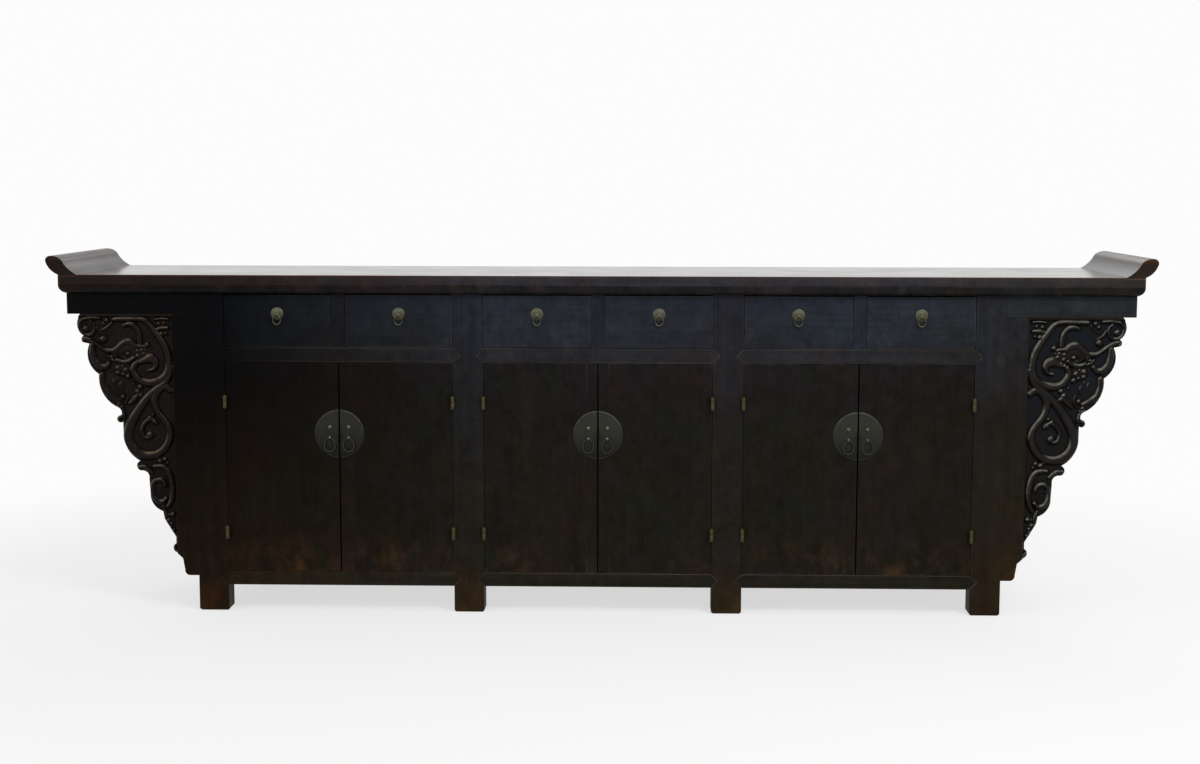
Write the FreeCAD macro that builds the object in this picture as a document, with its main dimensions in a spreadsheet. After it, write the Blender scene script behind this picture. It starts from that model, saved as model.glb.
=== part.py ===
import FreeCAD, Part
import math
import os
import re

import Sketcher

# A long Chinese altar coffer: three bays, each with two drawers over a pair of doors, under one thick
# top board whose ends turn up in flanges and whose overhangs rest on carved spandrels.
# Millimetres. X runs along the table, Y from front to back, Z up from the floor.

os.makedirs("parts", exist_ok=True)
doc = FreeCAD.newDocument("altar_table")

# Driving dimensions
SIZES = {
    # Top board
    "top_height": 900,
    "top_thickness": 50,
    "top_length": 2828,
    "top_depth": 500,
    "top_edge_round": 22,
    "end_overhang": 348,
    "front_overhang": 25,
    # Everted flanges
    "flange_width": 82,
    "flange_rise": 48.5,
    "flange_seat": 50,
    "flange_seat_depth": 3,
    "flange_tongue_inset": 18,
    "flange_tongue_width": 12,
    "flange_tongue_depth": 12,
    "flange_tongue_stop": 30,
    # Posts
    "leg_width": 80,
    "leg_depth": 60,
    "leg_tenon_width": 40,
    "leg_tenon_depth": 26,
    "leg_tenon_height": 24,
    "foot_height": 71,
    "foot_chamfer": 5,
    # Rails
    "rail_depth": 38,
    "bottom_rail_height": 37,
    "drawer_rail_height": 39,
    "top_rail_height": 30,
    "drawer_opening_height": 141,
    "shoulder_depth": 12,
    "rail_tenon_thickness": 14,
    "rail_tenon_length": 30,
    "rail_tenon_shoulder": 8,
    "cross_tenon_width": 30,
    "cross_tenon_length": 25,
    "divider_width": 36,
    "divider_tenon_width": 16,
    "divider_tenon_height": 10,
    # Panels and floors
    "panel_thickness": 10,
    "panel_groove": 8,
    "floor_thickness": 14,
    "floor_tongue": 8,
    "door_stop_height": 6,
    "door_stop_thickness": 12,
    "door_stop_gap": 0.6,
    # Friezes under the overhangs
    "frieze_height": 55,
    "frieze_thickness": 30,
    "frieze_setback": 14,
    "frieze_tenon_length": 24,
    "frieze_tenon_thickness": 12,
    "frieze_tenon_shoulder": 10,
    # Carved spandrels
    "strip_width": 59,
    "carving_width": 253,
    "spandrel_foot_height": 95,
    "spandrel_thickness": 24,
    "spandrel_recess": 2,
    "relief_height": 8,
    "spandrel_tongue": 8,
    "spandrel_tongue_thickness": 9,
    "border_width": 11,
    # Drawers
    "drawer_recess": 1,
    "drawer_side_gap": 1.2,
    "drawer_lift": 1,
    "drawer_top_gap": 3,
    "drawer_front_thickness": 20,
    "drawer_end_gap": 41,
    "drawer_box_inset": 1.3,
    "drawer_box_height": 112,
    "drawer_side_thickness": 12,
    "drawer_back_thickness": 10,
    "drawer_back_inset": 8,
    "drawer_bottom_thickness": 7,
    "drawer_bottom_drop": 6,
    "drawer_groove": 5,
    "drawer_housing": 7,
    "runner_clearance": 0.3,
    "runner_reach": 18,
    "runner_height": 20,
    "guide_thickness": 14,
    "guide_height": 30,
    "dust_board_thickness": 6,
    "dust_board_tongue": 5,
    # Drawer pulls
    "pull_height": 88.5,
    "pull_plate_radius": 16.5,
    "pull_plate_thickness": 1.5,
    "pull_eye_drop": 1,
    "pull_eye_reach": 5,
    "pull_ring_radius": 11.2,
    "pull_ring_length": 28,
    "pull_wire_radius": 1.8,
    # Doors
    "door_recess": 2,
    "door_thickness": 22,
    "door_gap": 3.5,
    "door_side_gap": 1,
    "door_end_gap": 1,
    "meeting_stile_width": 28,
    "batten_height": 44,
    "batten_thickness": 14,
    "batten_housing": 6,
    "batten_inset": 12,
    "batten_from_end": 90,
    # Hinges
    "hinge_from_end": 105,
    "hinge_height": 36,
    "knuckle_radius": 5.5,
    "knuckle_clearance": 0.3,
    "knuckle_gap": 0.3,
    "pin_radius": 2,
    "pin_clearance": 0.05,
    "pin_cover": 4,
    "hinge_leaf_thickness": 1.5,
    "hinge_leaf_depth": 17,
    # Lock plates, lock eyes and ring pulls of the doors
    "lock_plate_drop": 192,
    "lock_plate_radius": 66,
    "lock_plate_thickness": 2,
    "lock_plate_edge_gap": 0.4,
    "eye_offset": 25,
    "lock_eye_rise": 20.6,
    "lock_eye_radius": 3.2,
    "lock_eye_reach": 6.4,
    "lock_eye_width": 4,
    "eye_wall": 2.4,
    "staple_width": 3,
    "staple_wall": 2,
    "staple_clearance": 0.6,
    "ring_eye_drop": 8,
    "ring_eye_reach": 5.2,
    "ring_radius": 15.5,
    "ring_length": 38,
    "wire_radius": 2,
    # How far a cutter runs past what it cuts
    "overrun": 20,
}

# Places in the carving, as shares of its width outwards and of the spandrel's height downwards
OUTLINE_SHARES = [
    [(0.953, 0.0), (1.0, 0.05), (0.937, 0.084)],
    [(0.937, 0.084), (0.96, 0.097), (0.933, 0.11)],
    [(0.933, 0.11), (0.877, 0.114)],
    [(0.877, 0.114), (0.9, 0.16), (0.787, 0.23)],
    [(0.787, 0.23), (0.755, 0.3), (0.585, 0.359)],
    [(0.585, 0.359), (0.557, 0.374), (0.565, 0.387)],
    [(0.565, 0.387), (0.61, 0.399), (0.545, 0.411)],
    [(0.545, 0.411), (0.545, 0.472)],
    [(0.545, 0.472), (0.5, 0.52), (0.375, 0.561)],
    [(0.375, 0.561), (0.41, 0.584), (0.348, 0.599)],
    [(0.348, 0.599), (0.3, 0.607), (0.285, 0.629)],
    [(0.285, 0.629), (0.277, 0.686)],
    [(0.277, 0.686), (0.245, 0.729), (0.146, 0.756)],
    [(0.146, 0.756), (0.134, 0.781)],
    [(0.134, 0.781), (0.087, 0.811), (0.016, 0.854)],
    [(0.016, 0.854), (0.016, 0.88)],
    [(0.016, 0.88), (0.047, 0.897), (-0.008, 0.916)],
    [(-0.008, 0.916), (-0.065, 0.934)],
    [(-0.065, 0.934), (-0.083, 0.977)],
    [(-0.083, 0.977), (-0.1, 0.994), (-0.15, 1.0)],
]

# Raised stems of the carving: places along each one, then its width at both ends as shares of the
# carving's width
STEM_SHARES = [
    # Horizontal stem under the top border
    ([(0.66, 0.022), (0.45, 0.016), (0.26, 0.018), (0.2, 0.04)], 0.036, 0.045),
    # Broad stem that falls beside the inner border
    ([(0.39, 0.036), (0.24, 0.072), (0.14, 0.105), (0.075, 0.16), (0.075, 0.232)], 0.035, 0.07),
    # Crest over the head
    ([(0.53, 0.052), (0.46, 0.034), (0.39, 0.046), (0.345, 0.105)], 0.05, 0.04),
    # Brow and long curled snout
    (
        [
            (0.44, 0.1),
            (0.53, 0.098),
            (0.61, 0.124),
            (0.7, 0.136),
            (0.79, 0.108),
            (0.87, 0.083),
            (0.94, 0.1),
        ],
        0.06,
        0.03,
    ),
    # Crescent lobe beside the jaw
    ([(0.83, 0.13), (0.85, 0.165), (0.79, 0.2), (0.7, 0.215)], 0.05, 0.07),
    # Lower lobe
    ([(0.72, 0.245), (0.725, 0.29), (0.67, 0.325), (0.575, 0.345)], 0.04, 0.06),
    # Body that coils under the head
    (
        [
            (0.43, 0.19),
            (0.42, 0.23),
            (0.33, 0.258),
            (0.21, 0.248),
            (0.16, 0.215),
            (0.2, 0.185),
            (0.29, 0.175),
            (0.32, 0.2),
        ],
        0.05,
        0.03,
    ),
    # Hook and great scroll
    (
        [
            (0.04, 0.292),
            (0.11, 0.27),
            (0.19, 0.295),
            (0.185, 0.35),
            (0.1, 0.41),
            (0.03, 0.455),
            (0.04, 0.515),
            (0.15, 0.555),
            (0.31, 0.55),
            (0.44, 0.515),
            (0.51, 0.462),
            (0.49, 0.41),
            (0.4, 0.385),
        ],
        0.035,
        0.05,
    ),
    # Inner turn of the great scroll
    (
        [
            (0.33, 0.4),
            (0.17, 0.425),
            (0.13, 0.47),
            (0.2, 0.51),
            (0.31, 0.505),
            (0.37, 0.47),
            (0.3, 0.445),
        ],
        0.03,
        0.05,
    ),
    # Small lower scroll
    (
        [
            (0.36, 0.597),
            (0.2, 0.6),
            (0.075, 0.625),
            (0.06, 0.685),
            (0.13, 0.725),
            (0.22, 0.71),
            (0.245, 0.665),
            (0.17, 0.64),
            (0.12, 0.66),
        ],
        0.035,
        0.04,
    ),
]
CUTS_PER_PLACE = 1.4
CUTS_PER_ARC = 4

# Section of a flange, as shares of its width and rise, in arcs through three places
FLANGE_SHARES = [
    [(0.0, 0.0), (0.225, 0.245), (0.467, 0.768)],
    [(0.467, 0.768), (0.624, 0.945), (0.814, 1.0)],
    [(0.814, 1.0), (0.951, 0.93), (1.0, 0.741)],
]
FLANGE_UNDERSIDE_SHARES = (0.88, 0.33)

# How many flat sides the small round metalwork has, pins and their bores among it
RING_SIDES = 8
WIRE_SIDES = 4
PLATE_SIDES = 16
LOCK_PLATE_SIDES = 24
EYE_SIDES = 6
LUG_SIDES = 8
KNUCKLE_SIDES = 8
PIN_SIDES = 6

sheet = doc.addObject("Spreadsheet::Sheet", "sizes")
for row, (alias, size) in enumerate(SIZES.items(), start=1):
    sheet.set(f"A{row}", alias)
    sheet.set(f"B{row}", str(size))
    sheet.setAlias(f"B{row}", alias)
doc.recompute()

BAYS = (0, 1, 2)
LEGS = (0, 1, 2, 3)
SIDES = (-1, 1)

# Places and sizes that follow from the driving dimensions, as formulas in the sheet's names
body_front = "(front_overhang - top_depth / 2)"
body_back = "(top_depth / 2 - front_overhang)"
under_top = "(top_height - top_thickness)"
drawer_floor = f"({under_top} - drawer_opening_height)"
door_top = f"({drawer_floor} - drawer_rail_height)"
door_bottom = "(foot_height + bottom_rail_height)"
bay_width = f"((top_length - 2 * end_overhang - {len(LEGS)} * leg_width) / {len(BAYS)})"
pitch = f"({bay_width} + leg_width)"
half_bay = f"({bay_width} / 2)"
rail_back = f"({body_front} + rail_depth)"
back_rail_front = f"({body_back} - rail_depth)"
leg_back = f"({body_front} + leg_depth)"
back_leg_front = f"({body_back} - leg_depth)"
end_leg_side = "(top_length / 2 - end_overhang)"
frieze_bottom = f"({under_top} - frieze_height)"
spandrel_height = f"({frieze_bottom} - spandrel_foot_height)"
door_face = f"({body_front} + door_recess)"
door_back = f"({door_face} + door_thickness)"
drawer_face = f"({body_front} + drawer_recess)"
drawer_back = f"({drawer_face} + drawer_front_thickness)"
hinge_line = f"({body_front} - knuckle_clearance - knuckle_radius)"


def bound(formula):
    """A formula in the sheet's names, written so that an object's property can follow it."""
    return re.sub(r"\b[a-z][a-z_]+\b(?!\()", r"sizes.\g<0>", formula)


def number(formula):
    """What a formula comes to now."""
    return float(sheet.evalExpression(bound(formula)))


def bay_centre(bay):
    return f"({pitch} * ({bay} - 1))"


def leg_centre(leg):
    return f"({pitch} * ({leg} - 1.5))"


def about(centre, half):
    """The span that reaches half to each side of a centre."""
    return f"({centre} - {half})", f"({centre} + {half})"


def beside(centre, side, near, far):
    """The span between two distances on one side of a centre, the lower place first."""
    places = [f"({centre} + ({side}) * ({near}))", f"({centre} + ({side}) * ({far}))"]
    return tuple(places[::side])


def follow(thing, **formulas):
    """Ties properties of an object to the sheet."""
    for name, formula in formulas.items():
        thing.setExpression(name.replace("__", "."), bound(formula))


def place(thing, x, y, z):
    follow(thing, Placement__Base__x=x, Placement__Base__y=y, Placement__Base__z=z)


def block(name, x_span, y_span, z_span):
    """A board or bar between three pairs of places."""
    board = doc.addObject("Part::Box", name)
    for side, (low, high) in zip(("Length", "Width", "Height"), (x_span, y_span, z_span)):
        follow(board, **{side: f"{high} - {low}"})
    place(board, x_span[0], y_span[0], z_span[0])
    return board


def fuse(name, *pieces):
    whole = doc.addObject("Part::MultiFuse", name)
    whole.Shapes = list(pieces)
    return whole


def group(name, pieces):
    """Separate solids of one kind in one node."""
    whole = doc.addObject("Part::Compound", name)
    whole.Links = list(pieces)
    return whole


def cut(name, base, *tools):
    """The base with the space of every tool taken out of it."""
    result = doc.addObject("Part::Cut", name)
    result.Base = base
    result.Tool = tools[0] if len(tools) == 1 else fuse(f"{name}_tools", *tools)
    return result


def rod(name, along, radius, span, across):
    """A round rod along X, Y forwards or Z, through the two other places given by across."""
    piece = doc.addObject("Part::Cylinder", name)
    low, high = span
    follow(piece, Radius=radius, Height=f"{high} - {low}")
    lay_along(piece, along, span, across)
    return piece


def prism(name, along, sides, radius, span, across):
    """A many-sided rod, laid like a round one."""
    piece = doc.addObject("Part::Prism", name)
    piece.Polygon = sides
    low, high = span
    follow(piece, Circumradius=radius, Height=f"{high} - {low}")
    lay_along(piece, along, span, across)
    return piece


def lay_along(piece, along, span, across):
    """Turns an upright rod along its axis and sets it at its places."""
    low, high = span
    if along == "X":
        piece.Placement.Rotation = FreeCAD.Rotation(FreeCAD.Vector(0, 1, 0), 90)
        place(piece, low, *across)
    elif along == "Y":
        piece.Placement.Rotation = FreeCAD.Rotation(FreeCAD.Vector(1, 0, 0), 90)
        place(piece, across[0], high, across[1])
    else:
        place(piece, *across, low)


def rectangle(body, name, corner, size, height):
    """A rectangle level with the body's ground plane, its corner and sides tied to the sheet."""
    sketch = body.newObject("Sketcher::SketchObject", name)
    ground = next(plane for plane in body.Origin.OriginFeatures if plane.Role == "XY_Plane")
    sketch.AttachmentSupport = [(ground, "")]
    sketch.MapMode = "FlatFace"
    follow(sketch, AttachmentOffset__Base__z=height)
    x, y = (number(place_formula) for place_formula in corner)
    width, depth = (number(side) for side in size)
    corners = [
        FreeCAD.Vector(x, y),
        FreeCAD.Vector(x + width, y),
        FreeCAD.Vector(x + width, y + depth),
        FreeCAD.Vector(x, y + depth),
    ]
    for start, end in zip(corners, corners[1:] + corners[:1]):
        sketch.addGeometry(Part.LineSegment(start, end))
    for side in range(4):
        sketch.addConstraint(Sketcher.Constraint("Coincident", side, 2, (side + 1) % 4, 1))
        sketch.addConstraint(Sketcher.Constraint(("Horizontal", "Vertical")[side % 2], side))
    ties = [("DistanceX", 0, 1, 0, 2, width, size[0]), ("DistanceY", 1, 1, 1, 2, depth, size[1])]
    if corner == ("0", "0"):
        sketch.addConstraint(Sketcher.Constraint("Coincident", 0, 1, -1, 1))
    else:
        ties += [("DistanceX", -1, 1, 0, 1, x, corner[0]), ("DistanceY", -1, 1, 0, 1, y, corner[1])]
    for *constraint, formula in ties:
        index = sketch.addConstraint(Sketcher.Constraint(*constraint))
        sketch.setExpression(f"Constraints[{index}]", bound(formula))
    return sketch


def pad(body, name, sketch, length):
    feature = body.newObject("PartDesign::Pad", name)
    feature.Profile = sketch
    follow(feature, Length=length)
    doc.recompute()
    return feature


def edges_where(feature, test):
    """Names of the feature's edges whose two ends both pass a test."""
    names = []
    for index, edge in enumerate(feature.Shape.Edges, start=1):
        if all(test(vertex.Point) for vertex in edge.Vertexes):
            names.append(f"Edge{index}")
    return names


# Posts


def post(name, centre, y_low):
    """A leg with a tenon for the top board and an eased foot."""
    body = doc.addObject("PartDesign::Body", name)
    outline = rectangle(body, f"{name}_outline", ("0", "0"), ("leg_width", "leg_depth"), "0")
    shaft = pad(body, f"{name}_shaft", outline, under_top)
    foot = edges_where(shaft, lambda point: abs(point.z) < 1e-6)
    tenon_corner = ("(leg_width - leg_tenon_width) / 2", "(leg_depth - leg_tenon_depth) / 2")
    tenon_size = ("leg_tenon_width", "leg_tenon_depth")
    tenon_outline = rectangle(body, f"{name}_tenon_outline", tenon_corner, tenon_size, under_top)
    eased = body.newObject("PartDesign::Chamfer", f"{name}_foot")
    eased.Base = (shaft, foot)
    follow(eased, Size="foot_chamfer")
    pad(body, f"{name}_tenon", tenon_outline, "leg_tenon_height")
    place(body, f"{centre} - leg_width / 2", y_low, "0")
    return body


front_posts = [post(f"front_post_{leg}", leg_centre(leg), body_front) for leg in LEGS]
back_posts = [post(f"back_post_{leg}", leg_centre(leg), back_leg_front) for leg in LEGS]

# Rails with pointed shoulders, and plain rails at the back


def pointed_rail(name, bay, z_span):
    """A front rail: its ends come to a point in the face of the posts, with a tenon behind."""
    centre = bay_centre(bay)
    low, high = z_span
    rail_height = f"({high} - {low})"
    pieces = [block(f"{name}_bar", about(centre, half_bay), (body_front, rail_back), z_span)]
    slant = f"{rail_height} / sqrt(2)"
    for side in SIDES:
        point = doc.addObject("Part::Box", f"{name}_point")
        follow(point, Length=slant, Height=slant, Width="shoulder_depth")
        point.Placement.Rotation = FreeCAD.Rotation(FreeCAD.Vector(0, 1, 0), 45)
        end = f"{centre} + ({side}) * {half_bay} - {rail_height} / 2"
        place(point, end, body_front, f"({low} + {high}) / 2")
        pieces.append(point)
    tenon_y = f"({body_front} + shoulder_depth)", f"({body_front} + shoulder_depth + rail_tenon_thickness)"
    tenon_z = f"({low} + rail_tenon_shoulder)", f"({high} - rail_tenon_shoulder)"
    tenon_x = about(centre, f"({half_bay} + rail_tenon_length)")
    pieces.append(block(f"{name}_tenon", tenon_x, tenon_y, tenon_z))
    return fuse(name, *pieces)


def plain_rail(name, bay, z_span):
    centre = bay_centre(bay)
    low, high = z_span
    bar = block(f"{name}_bar", about(centre, half_bay), (back_rail_front, body_back), z_span)
    tenon_y = about(f"({body_back} - rail_depth / 2)", "(rail_tenon_thickness / 2)")
    tenon_z = f"({low} + rail_tenon_shoulder)", f"({high} - rail_tenon_shoulder)"
    tenon_x = about(centre, f"({half_bay} + rail_tenon_length)")
    return fuse(name, bar, block(f"{name}_tenon", tenon_x, tenon_y, tenon_z))


def cross_rail(name, leg, z_span):
    """A bar from a front post to the back post behind it."""
    centre = leg_centre(leg)
    low, high = z_span
    bar = block(f"{name}_bar", about(centre, "(leg_width / 2)"), (leg_back, back_leg_front), z_span)
    tenon_y = f"({leg_back} - cross_tenon_length)", f"({back_leg_front} + cross_tenon_length)"
    tenon_z = f"({low} + rail_tenon_shoulder)", f"({high} - rail_tenon_shoulder)"
    tenon_x = about(centre, "(cross_tenon_width / 2)")
    return fuse(name, bar, block(f"{name}_tenon", tenon_x, tenon_y, tenon_z))


levels = {
    "low": ("foot_height", door_bottom),
    "drawer": (door_top, drawer_floor),
    "top": (f"({under_top} - top_rail_height)", under_top),
}
stop_y = (f"({door_back} + door_stop_gap)", f"({door_back} + door_stop_gap + door_stop_thickness)")
lower_stop_z = (door_bottom, f"({door_bottom} + door_stop_height)")
upper_stop_z = (f"({door_top} - door_stop_height)", door_top)


def door_stop(name, bay, z_span):
    return block(name, about(bay_centre(bay), half_bay), stop_y, z_span)


def back_rails_of(bay):
    return [plain_rail(f"back_{level}_{bay}", bay, z_span) for level, z_span in levels.items()]


def cross_rails_of(leg):
    return [cross_rail(f"cross_{level}_{leg}", leg, z_span) for level, z_span in levels.items()]


bottom_bars = [pointed_rail(f"bottom_rail_{bay}", bay, levels["low"]) for bay in BAYS]
drawer_bars = [pointed_rail(f"drawer_rail_{bay}", bay, levels["drawer"]) for bay in BAYS]
lower_stops = [door_stop("lower_stop", bay, lower_stop_z) for bay in BAYS]
upper_stops = [door_stop("upper_stop", bay, upper_stop_z) for bay in BAYS]
back_bars = [back_rails_of(bay) for bay in BAYS]
cross_bars = [cross_rails_of(leg) for leg in LEGS]

# Panels between the posts, each held in grooves all round

panel_heights = {
    "lower": (f"({door_bottom} - panel_groove)", f"({door_top} + panel_groove)"),
    "upper": (f"({drawer_floor} - panel_groove)", f"({levels['top'][0]} + panel_groove)"),
}
panel_y = (f"({leg_back} - panel_groove)", f"({back_leg_front} + panel_groove)")
back_panel_y = about(f"({body_back} - rail_depth / 2)", "(panel_thickness / 2)")
floor_y = (f"({rail_back} - floor_tongue)", f"({back_rail_front} + floor_tongue)")
floor_z = (f"({door_bottom} - floor_thickness)", door_bottom)


def side_panel(height, leg):
    panel_x = about(leg_centre(leg), "(panel_thickness / 2)")
    return block(f"side_panel_{height}_{leg}", panel_x, panel_y, panel_heights[height])


def back_panel(height, bay):
    panel_x = about(bay_centre(bay), f"({half_bay} + panel_groove)")
    return block(f"back_panel_{height}_{bay}", panel_x, back_panel_y, panel_heights[height])


def floor_board(bay):
    floor_x = about(bay_centre(bay), f"({half_bay} + floor_tongue)")
    return block(f"floor_board_{bay}", floor_x, floor_y, floor_z)


side_panels = [[side_panel(height, leg) for height in panel_heights] for leg in LEGS]
back_panels = [[back_panel(height, bay) for height in panel_heights] for bay in BAYS]
floor_boards = [floor_board(bay) for bay in BAYS]

# Dividers between the two drawers of a bay


def divider(name, bay):
    centre = bay_centre(bay)
    bar_x = about(centre, "(divider_width / 2)")
    bar = block(f"{name}_bar", bar_x, (body_front, rail_back), (drawer_floor, under_top))
    tenon_y = about(f"({body_front} + rail_depth / 2)", "(rail_tenon_thickness / 2)")
    tenon_z = f"({drawer_floor} - divider_tenon_height)", f"({under_top} + divider_tenon_height)"
    tenon = block(f"{name}_tenon", about(centre, "(divider_tenon_width / 2)"), tenon_y, tenon_z)
    return fuse(name, bar, tenon)


dividers = [divider(f"divider_{bay}", bay) for bay in BAYS]

# Friezes that carry the front of the overhanging top


def frieze(name, side):
    out = f"(top_length / 2 - frieze_setback - {end_leg_side})"
    bar = block(
        f"{name}_bar",
        beside(f"({side}) * {end_leg_side}", side, "0", out),
        (body_front, f"({body_front} + frieze_thickness)"),
        (frieze_bottom, under_top),
    )
    tenon = block(
        f"{name}_tenon",
        beside(f"({side}) * {end_leg_side}", side, "-frieze_tenon_length", "frieze_tenon_length"),
        about(f"({body_front} + frieze_thickness / 2)", "(frieze_tenon_thickness / 2)"),
        (f"({frieze_bottom} + frieze_tenon_shoulder)", f"({under_top} - frieze_tenon_shoulder)"),
    )
    return fuse(name, bar, tenon)


friezes = [frieze(f"frieze_{side + 1}", side) for side in SIDES]

# Carved spandrels: one board each, with a plain strip beside the post and a relief of stems


def carved_point(out_share, down_share):
    """A place in the carving, outwards from the strip and down from the frieze."""
    out = number("strip_width") + out_share * number("carving_width")
    return FreeCAD.Vector(out, 0, -down_share * number(spandrel_height))


def curve_through(points):
    """A straight side through two places or an arc through three."""
    if len(points) == 2:
        return Part.LineSegment(*points).toShape()
    return Part.Arc(*points).toShape()


def cuts_through(points):
    """A straight side through two places, or straight cuts along the arc through three."""
    if len(points) == 3:
        points = Part.Arc(*points).discretize(Number=CUTS_PER_ARC + 1)
    return Part.makePolygon(points).Edges


def stem_face(shares, start_share, end_share):
    """The flat top of a raised stem: straight cuts beside a smooth line, nearer or wider as it goes."""
    line = Part.BSplineCurve()
    line.interpolate([carved_point(*share) for share in shares])
    cuts = round(CUTS_PER_PLACE * (len(shares) - 1))
    near_bank = []
    far_bank = []
    for step in range(cuts + 1):
        along = step / cuts
        parameter = line.FirstParameter + along * (line.LastParameter - line.FirstParameter)
        heading = line.tangent(parameter)[0]
        half_width = (start_share + along * (end_share - start_share)) * number("carving_width") / 2
        sideways = FreeCAD.Vector(heading.z, 0, -heading.x) * half_width
        near_bank.append(line.value(parameter) - sideways)
        far_bank.append(line.value(parameter) + sideways)
    return Part.Face(Part.makePolygon([*near_bank, *reversed(far_bank), near_bank[0]]))


def spandrel_shape():
    """The right spandrel, from the post's side and the frieze's underside, front at zero depth."""
    thickness = number("spandrel_thickness")
    relief = number("relief_height")
    border = number("border_width")
    strip = number("strip_width")
    height = number(spandrel_height)
    top_out = carved_point(*OUTLINE_SHARES[0][0])
    foot = carved_point(*OUTLINE_SHARES[-1][-1])
    inner_top = FreeCAD.Vector(0, 0, 0)
    inner_foot = FreeCAD.Vector(0, 0, -height)
    edges = Part.makePolygon([foot, inner_foot, inner_top, top_out]).Edges
    for shares in OUTLINE_SHARES:
        edges += cuts_through([carved_point(*share) for share in shares])
    outline = Part.Face(Part.Wire(Part.__sortEdges__(edges)))
    board = outline.extrude(FreeCAD.Vector(0, thickness, 0))
    ground = board.copy()
    ground.translate(FreeCAD.Vector(0, relief - thickness, 0))
    plain = Part.makeBox(strip + border, relief, height)
    plain.translate(FreeCAD.Vector(0, 0, -height))
    top_border = Part.makeBox(top_out.x, relief, border)
    top_border.translate(FreeCAD.Vector(0, 0, -border))
    stems = [stem_face(*stem).extrude(FreeCAD.Vector(0, relief, 0)) for stem in STEM_SHARES]
    raised = plain.multiFuse([top_border, *stems])
    tongue = Part.makeBox(2 * number("spandrel_tongue"), number("spandrel_tongue_thickness"), height)
    tongue.translate(FreeCAD.Vector(-number("spandrel_tongue"), relief, -height))
    return board.cut(ground.cut(raised)).fuse(tongue).removeSplitter()


def handed(name, side, shape, x, y, z):
    """A piece drawn for the right end, mirrored where it is for the left."""
    piece = doc.addObject("Part::Feature", name)
    piece.Shape = shape if side > 0 else shape.mirror(FreeCAD.Vector(), FreeCAD.Vector(1, 0, 0))
    place(piece, f"({side}) * {x}", y, z)
    return piece


carved_board = spandrel_shape()
spandrel_place = (end_leg_side, f"({body_front} + spandrel_recess)", frieze_bottom)
left_spandrel = handed("left_spandrel", -1, carved_board, *spandrel_place)
right_spandrel = handed("right_spandrel", 1, carved_board, *spandrel_place)

# Top board and its everted flanges


def flange_shape():
    """The right flange along Y, its section drawn outwards from the inner edge of its seat."""
    width = number("flange_width")
    rise = number("flange_rise")
    depth = number("top_depth")
    stop = number("flange_tongue_stop")
    sunk = number("flange_tongue_depth")
    seat_depth = number("flange_seat_depth")
    seat_end = FreeCAD.Vector(number("flange_seat"), 0, 0)
    arcs = [[FreeCAD.Vector(out * width, 0, up * rise) for out, up in shares] for shares in FLANGE_SHARES]
    under = FreeCAD.Vector(FLANGE_UNDERSIDE_SHARES[0] * width, 0, FLANGE_UNDERSIDE_SHARES[1] * rise)
    arcs += [[arcs[-1][-1], under, seat_end], [seat_end, arcs[0][0]]]
    section = Part.Face(Part.Wire([curve_through(points) for points in arcs]))
    flange = section.extrude(FreeCAD.Vector(0, depth, 0))
    seat = Part.makeBox(seat_end.x, depth, seat_depth)
    seat.translate(FreeCAD.Vector(0, 0, -seat_depth))
    tongue = Part.makeBox(number("flange_tongue_width"), depth - 2 * stop, 2 * sunk)
    tongue.translate(FreeCAD.Vector(number("flange_tongue_inset"), stop, -seat_depth - sunk))
    return flange.multiFuse([seat, tongue]).removeSplitter()


def top_plank():
    """The top board, its lower edge rounded back at the front and both ends."""
    body = doc.addObject("PartDesign::Body", "top_plank")
    outline = rectangle(body, "top_outline", ("0", "0"), ("top_length", "top_depth"), "0")
    plank = pad(body, "top_slab", outline, "top_thickness")
    length = number("top_length")

    def on_front(point):
        return abs(point.z) < 1e-6 and abs(point.y) < 1e-6

    def on_end(end):
        return lambda point: abs(point.z) < 1e-6 and abs(point.x - end) < 1e-6

    edges = [edge for test in (on_front, on_end(0), on_end(length)) for edge in edges_where(plank, test)]
    rounded = body.newObject("PartDesign::Fillet", "top_edge")
    rounded.Base = (plank, edges)
    follow(rounded, Radius="top_edge_round")
    place(body, "-top_length / 2", "-top_depth / 2", under_top)
    return body


flange_place = ("(top_length / 2 - flange_seat)", "-top_depth / 2", "top_height")
left_flange = handed("left_flange", -1, flange_shape(), *flange_place)
right_flange = handed("right_flange", 1, flange_shape(), *flange_place)

# Drawers

opening_width = f"(({bay_width} - divider_width) / 2)"
half_front = f"({opening_width} / 2 - drawer_side_gap)"
half_box = f"({half_front} - drawer_box_inset)"
box_bottom = f"({drawer_floor} + runner_clearance)"
box_end = f"({back_rail_front} - drawer_end_gap)"
bottom_low = f"({box_bottom} + drawer_bottom_drop)"
bottom_board_z = (bottom_low, f"({bottom_low} + drawer_bottom_thickness)")
back_end = f"({box_end} - drawer_back_inset)"
box_back_y = (f"({back_end} - drawer_back_thickness)", back_end)
pull_z = f"({drawer_floor} + pull_height)"


def drawer_centre(bay, side):
    return f"({bay_centre(bay)} + ({side}) * ({bay_width} + divider_width) / 4)"


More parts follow.
